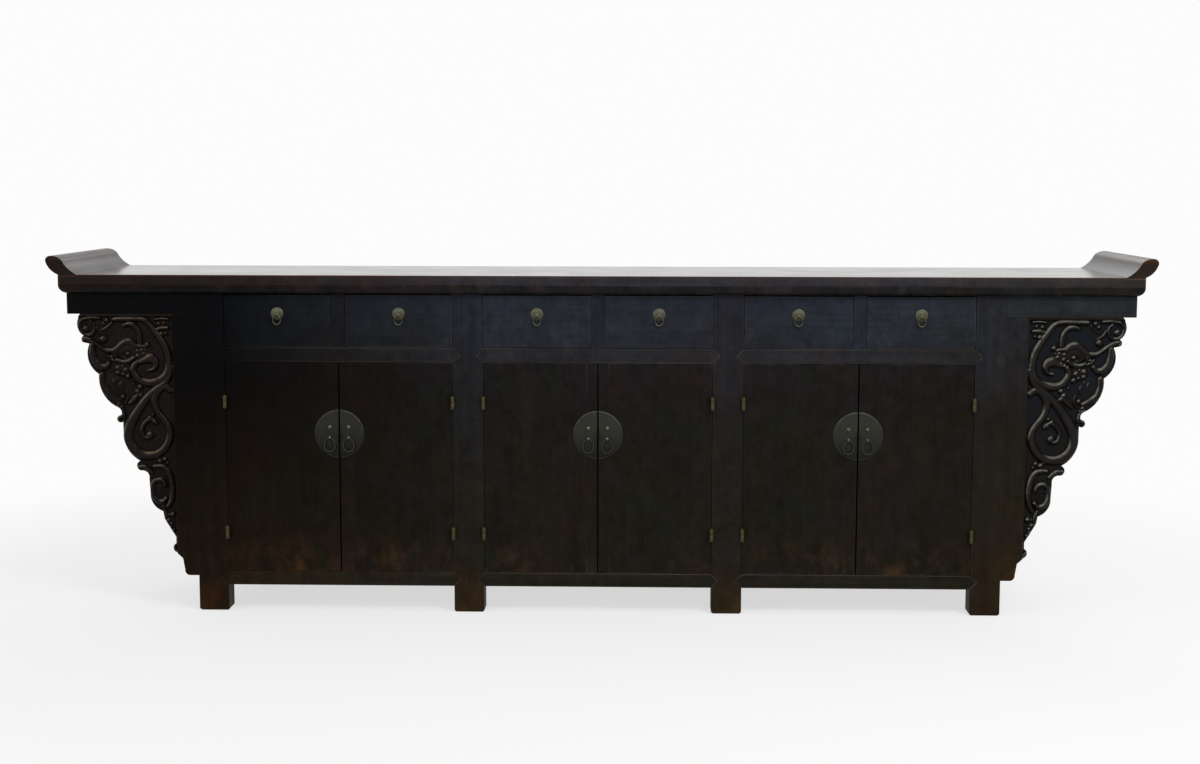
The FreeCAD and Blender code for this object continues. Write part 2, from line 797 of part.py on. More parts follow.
def ring_shape(ring_radius, ring_length, wire_radius):
    """A long ring of straight stretches, hung by the middle of its highest one, which lies along X."""
    turn = 2 * math.pi / RING_SIDES
    corner_share = 1 / math.cos(turn / 2)
    corners = []
    for corner in range(RING_SIDES):
        angle = turn * (corner + 0.5)
        out = ring_radius * corner_share * math.sin(angle)
        height = ring_length / 2 * (corner_share * math.cos(angle) - 1)
        corners.append(FreeCAD.Vector(out, 0, height))
    start = FreeCAD.Vector()
    path = Part.makePolygon([start, *corners, start])
    section = []
    for side in range(WIRE_SIDES):
        angle = 2 * math.pi * (side + 0.5) / WIRE_SIDES
        section.append(FreeCAD.Vector(0, wire_radius * math.cos(angle), wire_radius * math.sin(angle)))
    pipe = Part.BRepOffsetAPI.MakePipeShell(path)
    pipe.setTransitionMode(1)
    pipe.add(Part.makePolygon([*section, section[0]]), False, False)
    pipe.build()
    pipe.makeSolid()
    return pipe.shape()


def ring(name, sizes, x, y, z):
    """A ring of the named half width, length and wire radius."""
    hoop = doc.addObject("Part::Feature", name)
    hoop.Shape = ring_shape(*[number(size) for size in sizes])
    place(hoop, x, y, z)
    return hoop


def staple(name, x, face, reach, z, wire):
    """The eye that a ring hangs in: a strip bent round the wire, its tails through the plate."""
    hole = f"({wire} + staple_clearance)"
    outer = f"({hole} + staple_wall)"
    eye_y = f"({face} - {reach})"
    across = about(x, "(staple_width / 2)")
    bend = prism(f"{name}_bend", "X", EYE_SIDES, outer, across, (eye_y, z))
    tails = block(f"{name}_tails", across, (eye_y, face), about(z, f"({hole} + staple_wall / 2)"))
    way = prism(f"{name}_way", "X", EYE_SIDES, hole, about(x, "staple_width"), (eye_y, z))
    return cut(f"{name}_eye", fuse(f"{name}_strip", bend, tails), way)


def drawer(count, bay, side):
    """The nodes of one drawer: front, box, pull and ring."""
    name = f"drawer_{count}"
    centre = drawer_centre(bay, side)
    front = block(
        f"{name}_face",
        about(centre, half_front),
        (drawer_face, drawer_back),
        (f"({drawer_floor} + drawer_lift)", f"({under_top} - drawer_top_gap)"),
    )
    side_y = (f"({drawer_back} - drawer_housing)", box_end)
    box_z = (box_bottom, f"({box_bottom} + drawer_box_height)")
    inner = f"({half_box} - drawer_side_thickness)"
    between_grooves = about(centre, f"({inner} + drawer_groove)")
    bottom_y = (f"({drawer_back} - drawer_groove)", back_end)
    bottom = block(f"{name}_bottom", between_grooves, bottom_y, bottom_board_z)
    back = block(f"{name}_back", between_grooves, box_back_y, (bottom_board_z[1], box_z[1]))
    sides = [
        cut(
            f"{name}_side_{hand + 1}",
            block(f"{name}_plank_{hand + 1}", beside(centre, hand, inner, half_box), side_y, box_z),
            bottom,
            back,
        )
        for hand in SIDES
    ]
    plate = prism(
        f"{name}_plate",
        "Y",
        PLATE_SIDES,
        "pull_plate_radius",
        (f"({drawer_face} - pull_plate_thickness)", drawer_face),
        (centre, pull_z),
    )
    plate_face = f"({drawer_face} - pull_plate_thickness)"
    eye_z = f"({pull_z} - pull_eye_drop)"
    eye_y = f"({plate_face} - pull_eye_reach)"
    eye = staple(name, centre, plate_face, "pull_eye_reach", eye_z, "pull_wire_radius")
    ring_sizes = ("pull_ring_radius", "pull_ring_length", "pull_wire_radius")
    return {
        f"{name}_front": cut(f"{name}_housed", front, *sides, bottom),
        f"{name}_box": group(f"{name}_case", [*sides, back, bottom]),
        f"{name}_pull": fuse(f"{name}_mount", plate, eye),
        f"{name}_ring": ring(f"{name}_hoop", ring_sizes, centre, eye_y, eye_z),
    }


nodes = {}
for bay in BAYS:
    for side in SIDES:
        nodes.update(drawer(2 * bay + (side + 1) // 2 + 1, bay, side))

# Runners under the drawers, guides beside them and dust boards between them

runner_y = (rail_back, back_rail_front)
runner_z = (f"({drawer_floor} - runner_height)", drawer_floor)
guide_z = (drawer_floor, f"({drawer_floor} + guide_height)")
dust_z = about(f"({drawer_floor} - runner_height / 2)", "(dust_board_thickness / 2)")


def drawer_support(bay):
    """The runners, guides and dust boards of one bay."""
    centre = bay_centre(bay)
    middle_reach = "(divider_width / 2 + runner_reach)"
    outer_reach = f"({half_bay} - runner_reach)"
    dust_near = f"({middle_reach} - dust_board_tongue)"
    dust_far = f"({outer_reach} + dust_board_tongue)"
    runners = [block(f"middle_runner_{bay}", about(centre, middle_reach), runner_y, runner_z)]
    guides = [block(f"middle_guide_{bay}", about(centre, "(divider_width / 2)"), runner_y, guide_z)]
    dust_boards = []
    for side in SIDES:
        runner_x = beside(centre, side, outer_reach, half_bay)
        runners.append(block(f"side_runner_{bay}", runner_x, runner_y, runner_z))
        guide_x = beside(centre, side, half_bay, f"({half_bay} + guide_thickness)")
        guides.append(block(f"side_guide_{bay}", guide_x, (leg_back, back_leg_front), guide_z))
        dust_x = beside(centre, side, dust_near, dust_far)
        dust_boards.append(block(f"dust_board_{bay}", dust_x, runner_y, dust_z))
    grooved = [cut(f"grooved_runner_{bay}", runner, group("dust_tools", dust_boards)) for runner in runners]
    return grooved + guides + dust_boards


drawer_runners = group("drawer_runners", [piece for bay in BAYS for piece in drawer_support(bay)])

# Doors with their hinges, half lock plates and rings

leaf_z = (f"({door_bottom} + door_end_gap)", f"({door_top} - door_end_gap)")
near_edge = "(door_gap / 2)"
far_edge = f"({half_bay} - door_side_gap)"
hinge_centres = {"lower": f"({leaf_z[0]} + hinge_from_end)", "upper": f"({leaf_z[1]} - hinge_from_end)"}
pin_out = f"({half_bay} - door_side_gap / 2)"
lock_plate_z = f"({door_top} - lock_plate_drop)"
plate_face = f"({door_face} - lock_plate_thickness)"


def hinge(name, bay, side, height, z):
    """The post's leaf with its knuckle and pin, and the door's leaf with the knuckle that turns on it."""
    centre = bay_centre(bay)
    pin_x = f"({centre} + ({side}) * {pin_out})"
    line = (pin_x, hinge_line)
    low, high = about(z, "(hinge_height / 2)")
    joint_low, joint_high = about(z, "(knuckle_gap / 2)")
    pin_top = f"({high} - pin_cover)"
    bore_top = f"({pin_top} + knuckle_gap)"
    leaf_end = f"({body_front} + hinge_leaf_depth)"
    post_x = beside(centre, side, half_bay, f"({half_bay} + hinge_leaf_thickness)")
    door_x = beside(centre, side, f"({far_edge} - hinge_leaf_thickness)", far_edge)
    fixed = fuse(
        f"{name}_{height}_fixed",
        prism(f"{name}_low_knuckle", "Z", KNUCKLE_SIDES, "knuckle_radius", (low, joint_low), line),
        prism(f"{name}_pin", "Z", PIN_SIDES, "pin_radius", (joint_low, pin_top), line),
        block(f"{name}_post_leaf", post_x, (body_front, leaf_end), (low, high)),
        block(f"{name}_post_neck", post_x, (hinge_line, body_front), (low, joint_low)),
    )
    turning = fuse(
        f"{name}_{height}_turning",
        prism(f"{name}_high_knuckle", "Z", KNUCKLE_SIDES, "knuckle_radius", (joint_high, high), line),
        block(f"{name}_door_leaf", door_x, (door_face, leaf_end), (low, high)),
        block(f"{name}_door_neck", door_x, (hinge_line, door_face), (joint_high, high)),
    )
    bore_radius = f"((pin_radius + pin_clearance) / cos(180 / {PIN_SIDES}))"
    bore = prism(f"{name}_bore", "Z", PIN_SIDES, bore_radius, (f"({joint_high} - overrun)", bore_top), line)
    return fixed, cut(f"{name}_{height}_bored", turning, bore)


def door_leaf(name, bay, side):
    """A board with a narrow stile where the pair meets, held flat by two battens let into its back."""
    centre = bay_centre(bay)
    joint_line = f"({near_edge} + meeting_stile_width)"
    leaf_y = (door_face, door_back)
    stile = block(f"{name}_stile", beside(centre, side, near_edge, joint_line), leaf_y, leaf_z)
    board = block(f"{name}_board", beside(centre, side, joint_line, far_edge), leaf_y, leaf_z)
    batten_x = beside(centre, side, f"({near_edge} + batten_inset)", f"({far_edge} - batten_inset)")
    batten_y = (f"({door_back} - batten_housing)", f"({door_back} - batten_housing + batten_thickness)")
    battens = []
    for middle in (f"({leaf_z[0]} + batten_from_end)", f"({leaf_z[1]} - batten_from_end)"):
        battens.append(block(f"{name}_batten", batten_x, batten_y, about(middle, "(batten_height / 2)")))
    return stile, board, battens


def lock_plate_half(name, bay, side):
    """Half of a round plate, its straight side beside the gap between the doors."""
    centre = bay_centre(bay)
    plate_y = (plate_face, door_face)
    middle = (centre, lock_plate_z)
    disc = prism(f"{name}_disc", "Y", LOCK_PLATE_SIDES, "lock_plate_radius", plate_y, middle)
    kept = block(
        f"{name}_half",
        beside(centre, side, f"({near_edge} + lock_plate_edge_gap)", "(lock_plate_radius + overrun)"),
        (f"({plate_face} - overrun)", f"({door_face} + overrun)"),
        about(lock_plate_z, "(lock_plate_radius + overrun)"),
    )
    half = doc.addObject("Part::MultiCommon", f"{name}_plate")
    half.Shapes = [disc, kept]
    return half


def lock_eye(name, x):
    """A stud with a round hole for the bar of a padlock."""
    z = f"({lock_plate_z} + lock_eye_rise)"
    eye_y = f"({plate_face} - lock_eye_reach)"
    across = about(x, "(lock_eye_width / 2)")
    outer = "(lock_eye_radius + eye_wall)"
    head = prism(f"{name}_head", "X", LUG_SIDES, outer, across, (eye_y, z))
    stem = block(f"{name}_stem", across, (eye_y, plate_face), about(z, outer))
    hole = rod(f"{name}_hole", "X", "lock_eye_radius", about(x, "lock_eye_width"), (eye_y, z))
    return cut(f"{name}_lock_eye", fuse(f"{name}_lug", head, stem), hole)


post_hinges = {}


def door(count, bay, side):
    """The nodes of one door: leaf, metalwork and ring."""
    name = f"door_{count}"
    stile, board, battens = door_leaf(name, bay, side)
    hinges = [hinge(name, bay, side, height, z) for height, z in hinge_centres.items()]
    post_hinges[bay, side] = [fixed for fixed, _ in hinges]
    turning = [moving for _, moving in hinges]
    eye_x = f"({bay_centre(bay)} + ({side}) * eye_offset)"
    ring_z = f"({lock_plate_z} - ring_eye_drop)"
    ring_y = f"({plate_face} - ring_eye_reach)"
    ring_eye = staple(name, eye_x, plate_face, "ring_eye_reach", ring_z, "wire_radius")
    ring_sizes = ("ring_radius", "ring_length", "wire_radius")
    lock = fuse(f"{name}_lock", lock_plate_half(name, bay, side), ring_eye, lock_eye(name, eye_x))
    batten_tool = group(f"{name}_batten_tool", battens)
    housed_stile = cut(f"{name}_housed_stile", stile, batten_tool)
    housed_board = cut(f"{name}_housed_board", board, batten_tool, *turning)
    return {
        f"{name}_leaf": group(f"{name}_leaf", [housed_stile, housed_board, *battens]),
        f"{name}_metalwork": group(f"{name}_metal", [lock, *turning]),
        f"{name}_ring": ring(f"{name}_hoop", ring_sizes, eye_x, ring_y, ring_z),
    }


for bay in BAYS:
    for side in SIDES:
        nodes.update(door(2 * bay + (side + 1) // 2 + 1, bay, side))

# Mortises, grooves and housings, each cut by the piece that fills it


def bays_beside(leg):
    return [bay for bay in (leg - 1, leg) if bay in BAYS]


def front_leg(leg):
    fillers = [*cross_bars[leg], *side_panels[leg]]
    for bay in bays_beside(leg):
        fillers += [bottom_bars[bay], drawer_bars[bay], floor_boards[bay]]
        fillers += post_hinges[bay, -1 if bay == leg else 1]
    if leg == LEGS[0]:
        fillers += [friezes[0], left_spandrel]
    if leg == LEGS[-1]:
        fillers += [friezes[1], right_spandrel]
    return cut(f"front_leg_{leg}", front_posts[leg], *fillers)


def back_leg(leg):
    fillers = [*cross_bars[leg], *side_panels[leg]]
    for bay in bays_beside(leg):
        fillers += [*back_bars[bay], *back_panels[bay], floor_boards[bay]]
    return cut(f"back_leg_{leg}", back_posts[leg], *fillers)


def grooved_cross_rails(leg):
    """The bars of one side frame, grooved for its two panels and, at the foot, for the floors."""
    low, drawer_bar, top = cross_bars[leg]
    lower_panel, upper_panel = side_panels[leg]
    floors = [floor_boards[bay] for bay in bays_beside(leg)]
    return [
        cut(f"cross_rail_low_{leg}", low, lower_panel, *floors),
        cut(f"cross_rail_drawer_{leg}", drawer_bar, lower_panel, upper_panel),
        cut(f"cross_rail_top_{leg}", top, upper_panel),
    ]


def grooved_back_rails(bay):
    low, drawer_bar, top = back_bars[bay]
    lower_panel, upper_panel = back_panels[bay]
    return [
        cut(f"back_rail_low_{bay}", low, lower_panel, floor_boards[bay]),
        cut(f"back_rail_drawer_{bay}", drawer_bar, lower_panel, upper_panel),
        cut(f"back_rail_top_{bay}", top, upper_panel),
    ]


drawer_rails = [cut(f"mortised_rail_{bay}", drawer_bars[bay], dividers[bay]) for bay in BAYS]
bottom_rails = [cut(f"grooved_rail_{bay}", bottom_bars[bay], floor_boards[bay]) for bay in BAYS]
top_fillers = [left_flange, right_flange, *front_posts, *back_posts, *dividers]

nodes["top_board"] = cut("mortised_top", top_plank(), *top_fillers)
nodes["left_flange"] = left_flange
nodes["right_flange"] = right_flange
nodes["left_spandrel"] = left_spandrel
nodes["right_spandrel"] = right_spandrel
nodes["end_friezes"] = group("end_friezes", friezes)
nodes["front_legs"] = group("front_legs", [front_leg(leg) for leg in LEGS])
nodes["back_legs"] = group("back_legs", [back_leg(leg) for leg in LEGS])
nodes["drawer_rails"] = group("drawer_rails", drawer_rails + upper_stops)
nodes["bottom_rails"] = group("bottom_rails", bottom_rails + lower_stops)
nodes["drawer_dividers"] = group("drawer_dividers", dividers)
nodes["back_rails"] = group("back_rails", [rail for bay in BAYS for rail in grooved_back_rails(bay)])
nodes["cross_rails"] = group("cross_rails", [rail for leg in LEGS for rail in grooved_cross_rails(leg)])
nodes["side_panels"] = group("side_panels", [panel for frame in side_panels for panel in frame])
nodes["back_panels"] = group("back_panels", [panel for bay_panels in back_panels for panel in bay_panels])
nodes["floor_boards"] = group("floor_boards", floor_boards)
nodes["drawer_runners"] = drawer_runners
nodes["post_hinge_leaves"] = group("post_hinge_leaves", sum(post_hinges.values(), []))


# Checks, labels and files

doc.recompute()
for thing in doc.Objects:
    if {"Invalid", "Error"} & set(thing.State):
        raise RuntimeError(f"{thing.Name} failed: {thing.State}")
for name, piece in nodes.items():
    if piece.Shape.isNull() or not piece.Shape.isValid():
        raise RuntimeError(f"{name} has no valid shape")
    piece.Label = name
for name, piece in nodes.items():
    piece.Shape.exportStep(f"parts/{name}.step")
print(len(nodes), "sub-parts")
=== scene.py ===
import math

import bmesh
import bpy
import numpy as np
from mathutils import Matrix, Vector
from mathutils.geometry import delaunay_2d_cdt


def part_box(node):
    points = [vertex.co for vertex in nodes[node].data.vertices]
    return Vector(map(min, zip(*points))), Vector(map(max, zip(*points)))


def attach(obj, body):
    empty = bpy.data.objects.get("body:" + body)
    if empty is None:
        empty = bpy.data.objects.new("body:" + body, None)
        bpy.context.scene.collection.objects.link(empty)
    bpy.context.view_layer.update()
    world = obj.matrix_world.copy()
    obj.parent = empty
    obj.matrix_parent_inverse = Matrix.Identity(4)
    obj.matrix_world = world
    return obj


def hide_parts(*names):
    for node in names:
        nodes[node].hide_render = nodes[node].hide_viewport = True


# Looks of a long Chinese altar coffer: worn dark lacquer, carved spandrels, old brass.
# Metres, in the frame of the solids: X to the right, Y to the back, Z up.

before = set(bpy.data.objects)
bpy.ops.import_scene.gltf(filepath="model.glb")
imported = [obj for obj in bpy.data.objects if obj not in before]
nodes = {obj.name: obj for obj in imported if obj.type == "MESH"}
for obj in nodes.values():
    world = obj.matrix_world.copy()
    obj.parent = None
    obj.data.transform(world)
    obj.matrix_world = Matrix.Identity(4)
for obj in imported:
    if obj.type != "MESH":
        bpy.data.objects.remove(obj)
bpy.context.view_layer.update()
MM = 0.001
DOORS = range(1, 7)

# Sizes that the pieces of brass and the carving share with the solids
LOCK_PLATE_RADIUS = 66 * MM
LOCK_PLATE_THICKNESS = 2 * MM
LOCK_EYE_RISE = 20.6 * MM
LOCK_EYE_REACH = 6.4 * MM
LOCK_EYE_HOLE = 3.2 * MM
LOCK_EYE_WIRE = 1.5 * MM
EYE_OFFSET = 25 * MM
LOCK_PLATE_HALF_GAP = 2.15 * MM
RING_EYE_DROP = 8 * MM
PULL_PLATE_RADIUS = 16.5 * MM
PULL_PLATE_THICKNESS = 1.5 * MM
KNUCKLE_RADIUS = 5.5 * MM
KNUCKLE_CLEARANCE = 0.3 * MM
KNUCKLE_GAP = 0.3 * MM
DOOR_SIDE_GAP = 1 * MM
HINGE_LEAF_THICKNESS = 1.5 * MM
HINGE_HEIGHT = 36 * MM
HINGE_FROM_END = 105 * MM
DOOR_NECK_REACH = 17 * MM
DOOR_LEAF_REACH = 15 * MM
POST_NECK_REACH = 10 * MM
POST_LEAF_REACH = 17 * MM

# Sizes of the carved boards in millimetres
STRIP_WIDTH = 59
CARVING_WIDTH = 253
RELIEF_HEIGHT = 12
SPANDREL_THICKNESS = 24
BORDER_WIDTH = 7
SPANDREL_TONGUE = 8

# Wires of the rings, and loop and wire of the eyes that hold them
RING_WIRE = 2 * MM
RING_EYE = (3.7 * MM, 1.2 * MM)
PULL_WIRE = 1.8 * MM
PULL_EYE = (3.3 * MM, 1.1 * MM)
WIRE_TOP_SHARE = math.cos(math.pi / 4)


# Nodes of the materials


def add_node(tree, kind, inputs=None, **settings):
    """A node whose inputs are given as numbers, colours or the sockets that feed them."""
    node = tree.nodes.new(kind)
    for name, value in settings.items():
        setattr(node, name, value)
    for name, value in (inputs or {}).items():
        socket = node.inputs[name]
        if isinstance(value, bpy.types.NodeSocket):
            tree.links.new(value, socket)
        else:
            socket.default_value = (*value, 1) if socket.type == "RGBA" else value
    return node


def fed_node(kind, inputs, **settings):
    """A node in the tree of the sockets that feed it."""
    tree = next(value.id_data for value in inputs.values() if isinstance(value, bpy.types.NodeSocket))
    return add_node(tree, kind, inputs, **settings)


def new_material(name):
    material = bpy.data.materials.new(name)
    material.use_nodes = True
    material.node_tree.nodes.clear()
    return material, material.node_tree


def place_of(tree):
    return add_node(tree, "ShaderNodeTexCoord").outputs["Object"]


def noise(vector, scale, detail=3, roughness=0.55, stretch=(1, 1, 1), shift=(0, 0, 0)):
    mapping = fed_node("ShaderNodeMapping", {"Vector": vector, "Scale": stretch, "Location": shift})
    inputs = {"Vector": mapping.outputs["Vector"], "Scale": scale, "Detail": detail, "Roughness": roughness}
    return fed_node("ShaderNodeTexNoise", inputs).outputs["Fac"]


def ranged(value, low, high, to_low=0, to_high=1):
    """A value brought from one range to another, clamped at both ends."""
    inputs = {"Value": value, "From Min": low, "From Max": high, "To Min": to_low, "To Max": to_high}
    return fed_node("ShaderNodeMapRange", inputs).outputs["Result"]


def math_node(operation, first, second):
    return fed_node("ShaderNodeMath", {0: first, 1: second}, operation=operation).outputs["Value"]


def mixed(factor, first, second):
    inputs = {0: factor, 6: first, 7: second}
    return fed_node("ShaderNodeMix", inputs, data_type="RGBA").outputs[2]


def mixed_value(factor, first, second):
    return fed_node("ShaderNodeMix", {0: factor, 2: first, 3: second}, data_type="FLOAT").outputs[0]


def ramp(value, stops):
    """A colour ramp through pairs of place and colour."""
    node = fed_node("ShaderNodeValToRGB", {"Fac": value})
    elements = node.color_ramp.elements
    while len(elements) < len(stops):
        elements.new(0.5)
    for element, (place, shade) in zip(elements, stops):
        element.position = place
        element.color = (*shade, 1)
    return node.outputs["Color"]


def product(*values):
    result = values[0]
    for value in values[1:]:
        result = math_node("MULTIPLY", result, value)
    return result


def vector_math(operation, *vectors, result="Vector"):
    inputs = dict(enumerate(vectors))
    return fed_node("ShaderNodeVectorMath", inputs, operation=operation).outputs[result]


def split(vector):
    """The X, Y and Z parts of a vector."""
    return fed_node("ShaderNodeSeparateXYZ", {"Vector": vector}).outputs


def facing(tree):
    return add_node(tree, "ShaderNodeNewGeometry").outputs["Normal"]


def upness(tree):
    """1 where a face looks straight up, -1 where it looks straight down."""
    return split(facing(tree))["Z"]


def scaled(shade, factor):
    inputs = {0: shade, "Scale": factor}
    return fed_node("ShaderNodeVectorMath", inputs, operation="SCALE").outputs["Vector"]


def tinted(shade, factor, tint):
    """A shade multiplied by a tint, as far as the factor says."""
    return mixed(factor, shade, vector_math("MULTIPLY", shade, tint))


def edge_nearness(tree, radius):
    """1 at an edge of the piece, 0 further than about the radius from it."""
    rounded = add_node(tree, "ShaderNodeBevel", {"Radius": radius}, samples=4).outputs["Normal"]
    alike = vector_math("DOT_PRODUCT", rounded, facing(tree), result="Value")
    return ranged(alike, 0.995, 0.86)


EXPORTED_GLOSS = 0.2


def finish_material(base, roughness, gloss, bump_height, bump_depth, **shader_values):
    """The shader at the end of a material, with a bump in metres."""
    bump = fed_node("ShaderNodeBump", {"Height": bump_height, "Distance": bump_depth, "Strength": 1})
    inputs = {"Base Color": base, "Roughness": roughness, "Specular IOR Level": gloss}
    inputs |= {"Normal": bump.outputs["Normal"]} | shader_values
    shader = fed_node("ShaderNodeBsdfPrincipled", inputs)
    if shader.inputs["Specular IOR Level"].is_linked:
        shader.inputs["Specular IOR Level"].default_value = EXPORTED_GLOSS
    fed_node("ShaderNodeOutputMaterial", {"Surface": shader.outputs["BSDF"]})


# Wood

ALONG = {"X": (0.03, 1, 1), "Y": (1, 0.03, 1), "Z": (1, 1, 0.03)}
TABLE_HEIGHT = 0.95
POST_SMEAR = (1.051, -0.225, 0.683)
POST_SMEAR_REACH = (16 * MM, 60 * MM, 26 * MM)
POST_SMEAR_SHADE = (0.06, 0.05, 0.043)
END_WEAR_REACH = 50 * MM
RIGHT_END_TINT = (0.92, 0.88, 0.72)
LEFT_END_TINT = (1.08, 0.8, 0.62)


def shade_by_height(place, height, heights, wander):
    """The lacquer's shade by height, with a border that wanders up and down."""
    drift = noise(place, 5, 2)
    level = math_node("ADD", height, ranged(drift, 0.3, 0.7, -wander, wander))
    stops = [(level_place / TABLE_HEIGHT, shade) for level_place, shade in heights]
    return ramp(ranged(level, 0, TABLE_HEIGHT), stops)


def post_smear(place, speck):
    """Where the pale smear on the right end post lies."""
    away = vector_math("SUBTRACT", place, POST_SMEAR)
    away = vector_math("DIVIDE", away, POST_SMEAR_REACH)
    near = ranged(vector_math("LENGTH", away, result="Value"), 1, 0.2)
    return product(near, ranged(speck, 0.4, 0.6, 0.2, 1), 0.5)


def foot_scuffs(place, height, mottle, foot, strength):
    """Scuffs just above the foot of a piece, broken up along the table."""
    tall = noise(place, 16, 4, 0.7, (1, 1, 0.65), (2, 4, 1))
    broken = ranged(noise(place, 3.4, 2, shift=(0.4, 0, 0.9)), 0.42, 0.58, 0.12, 1)
    near_foot = ranged(height, foot + 0.11, foot + 0.005)
    blurred = product(ranged(tall, 0.44, 0.7), ranged(mottle, 0.3, 0.65))
    return product(near_foot, broken, blurred, strength)


def end_wear(height, low_end, high_end):
    """The wear of a door is strong near its two ends only."""
    near_low = ranged(height, low_end, low_end + END_WEAR_REACH, 1, 0.1)
    near_high = ranged(height, high_end - END_WEAR_REACH, high_end, 0.1, 0.8)
    return math_node("MAXIMUM", near_low, near_high)


def left_end_painted_shade(along_table, height):
    """A factor of painted shade that darkens the left end, most at its top."""
    upper = ranged(height, 0.1, 0.62)
    # Painted shade over the upper part of the left end, and over the whole end post.
    dark = product(upper, ranged(along_table, -0.98, -0.32, 0.9, 0))
    end_post = ranged(along_table, -1.03, -0.95, 0.65, 1)
    return product(math_node("SUBTRACT", 1, dark), end_post)


def end_tints_and_painted_shade(base, along_table, height, end_painted_shade):
    """The lacquer is warmer at both ends, and a painted shade darkens it towards the left one."""
    base = tinted(base, ranged(along_table, 0.8, 1.1), RIGHT_END_TINT)
    off_blue = math_node("MAXIMUM", ranged(height, 0.74, 0.6), ranged(height, 0.86, 0.87))
    left_end = product(ranged(along_table, -0.45, -0.9), off_blue)
    base = tinted(base, left_end, LEFT_END_TINT)
    return mixed(end_painted_shade, base, scaled(base, left_end_painted_shade(along_table, height)))


def gloss_from_above(tree, along_table, gloss, left, centre, right):
    """One gloss for upright faces, and for faces that look up another, by the place along the table."""
    upper = mixed_value(ranged(along_table, -1.3, -0.25), left, centre)
    upper = mixed_value(ranged(along_table, 0.1, 1.3), upper, right)
    return mixed_value(ranged(upness(tree), 0.15, 0.7), gloss, upper)


def wood(name, grain, heights, patches, worn_and_highlit, gloss=0.04, shine=(0.38, 0.6), wear=1, streaks=0.2,
         wander=0.09, scuffs=0, ends=None, wear_reach=5 * MM, grain_depth=0.25 * MM, upper_gloss=None,
         tint=(1, 1, 1), wear_least=0.06, end_painted_shade=1):
    """Old lacquered wood: its shade by height, lighter and bluish high up partly as a painted sheen, streaks
    along the grain, mottled patches, edges with wear, and a painted shade towards the left end.
    """
    material, tree = new_material(name)
    place = place_of(tree)
    parts = split(place)
    height = parts["Z"]
    along = ALONG[grain]
    base = shade_by_height(place, height, heights, wander)
    broad = noise(place, 38, 4, 0.6, along)
    fine = noise(place, 190, 3, 0.6, along, (3.1, 1.7, 0.4))
    blotch = noise(place, 6.5, 3, 0.6, (1, 1, 0.7), (0.7, 2.3, 1.1))
    mottle = noise(place, 30, 4, 0.7, (1, 1, 0.8), (1.9, 0.3, 4.1))
    speck = noise(place, 95, 3, 0.7, (1, 1, 0.6), (0.2, 6.1, 2.4))
    streak = ranged(broad, 0.3, 0.7, 1 - streaks, 1 + streaks)
    grainy = ranged(fine, 0.25, 0.75, 0.84, 1.16)
    cloudy = ranged(mottle, 0.3, 0.7, 0.7, 1.3)
    specked = ranged(speck, 0.25, 0.75, 0.85, 1.15)
    base = scaled(base, product(streak, grainy, cloudy, specked))
    if scuffs:
        base = mixed(post_smear(place, speck), base, POST_SMEAR_SHADE)
    for number, (patch, strength) in enumerate(patches):
        shift = (3.7 * number + 0.9, 1.3, 5.1 * number)
        spread = noise(place, 7 + 5 * number, 4, 0.65, (1, 1, 0.7), shift)
        broken = ranged(mottle, 0.35, 0.6, 0.45, 1)
        mask = product(ranged(spread, 0.5, 0.66, 0, strength), broken)
        base = mixed(mask, base, patch)
    rubbed_and_lit = noise(place, 24, 4, 0.65, along, (5, 0, 2))
    wear_mask = product(edge_nearness(tree, wear_reach), ranged(rubbed_and_lit, 0.42, 0.62, wear_least, wear))
    if ends:
        wear_mask = product(wear_mask, end_wear(height, *ends))
    base = mixed(wear_mask, base, worn_and_highlit)
    if scuffs:
        foot = ends[0] if ends else 0
        base = mixed(foot_scuffs(place, height, mottle, foot, scuffs), base, SCUFF_SHADE)
    # Painted shade towards the left end, and a warmer tone at both ends.
    base = end_tints_and_painted_shade(base, parts["X"], height, end_painted_shade)
    uneven = math_node("ADD", blotch, product(broad, 0.4))
    roughness = ranged(uneven, 0.45, 0.95, *shine)
    grain_height = math_node("ADD", product(fine, 0.5), product(broad, 0.8))
    dents = noise(place, 70, 3, 0.5)
    bump = math_node("ADD", grain_height, product(dents, 0.5))
    if upper_gloss:
        gloss = gloss_from_above(tree, parts["X"], gloss, *upper_gloss)
    finish_material(base, roughness, gloss, bump, grain_depth, **{"Specular Tint": tint})
    return material


# Shades of the lacquer and of bare wood, most of them as pairs of height and shade

# The lighter, bluish shades high up on the frame, the rails, the frieze and the drawers are partly the
# lacquer's tone and partly a painted sheen.
FRAME_SHADES = [
    (0, (0.036, 0.019, 0.0075)), (0.07, (0.024, 0.0148, 0.007)), (0.16, (0.016, 0.013, 0.0085)),
    (0.3, (0.0148, 0.0128, 0.0086)), (0.5, (0.013, 0.0118, 0.0112)), (0.66, (0.0158, 0.016, 0.0185)),
    (0.8, (0.019, 0.0208, 0.03)),
]
DOOR_SHADES = [
    (0.1, (0.0118, 0.0092, 0.0052)), (0.22, (0.0106, 0.0092, 0.0052)), (0.45, (0.0104, 0.0086, 0.0058)),
    (0.62, (0.01, 0.0086, 0.0078)), (0.7, (0.01, 0.009, 0.0088)),
]
DRAWER_SHADES = [
    (0.68, (0.0165, 0.0175, 0.0205)), (0.74, (0.0195, 0.0225, 0.0285)), (0.84, (0.0205, 0.0245, 0.0345)),
]
RAIL_SHADES = [
    (0.06, (0.016, 0.0138, 0.0082)), (0.12, (0.0165, 0.0142, 0.0088)), (0.6, (0.02, 0.0184, 0.0185)),
    (0.7, (0.022, 0.021, 0.024)), (0.8, (0.019, 0.02, 0.0245)),
]
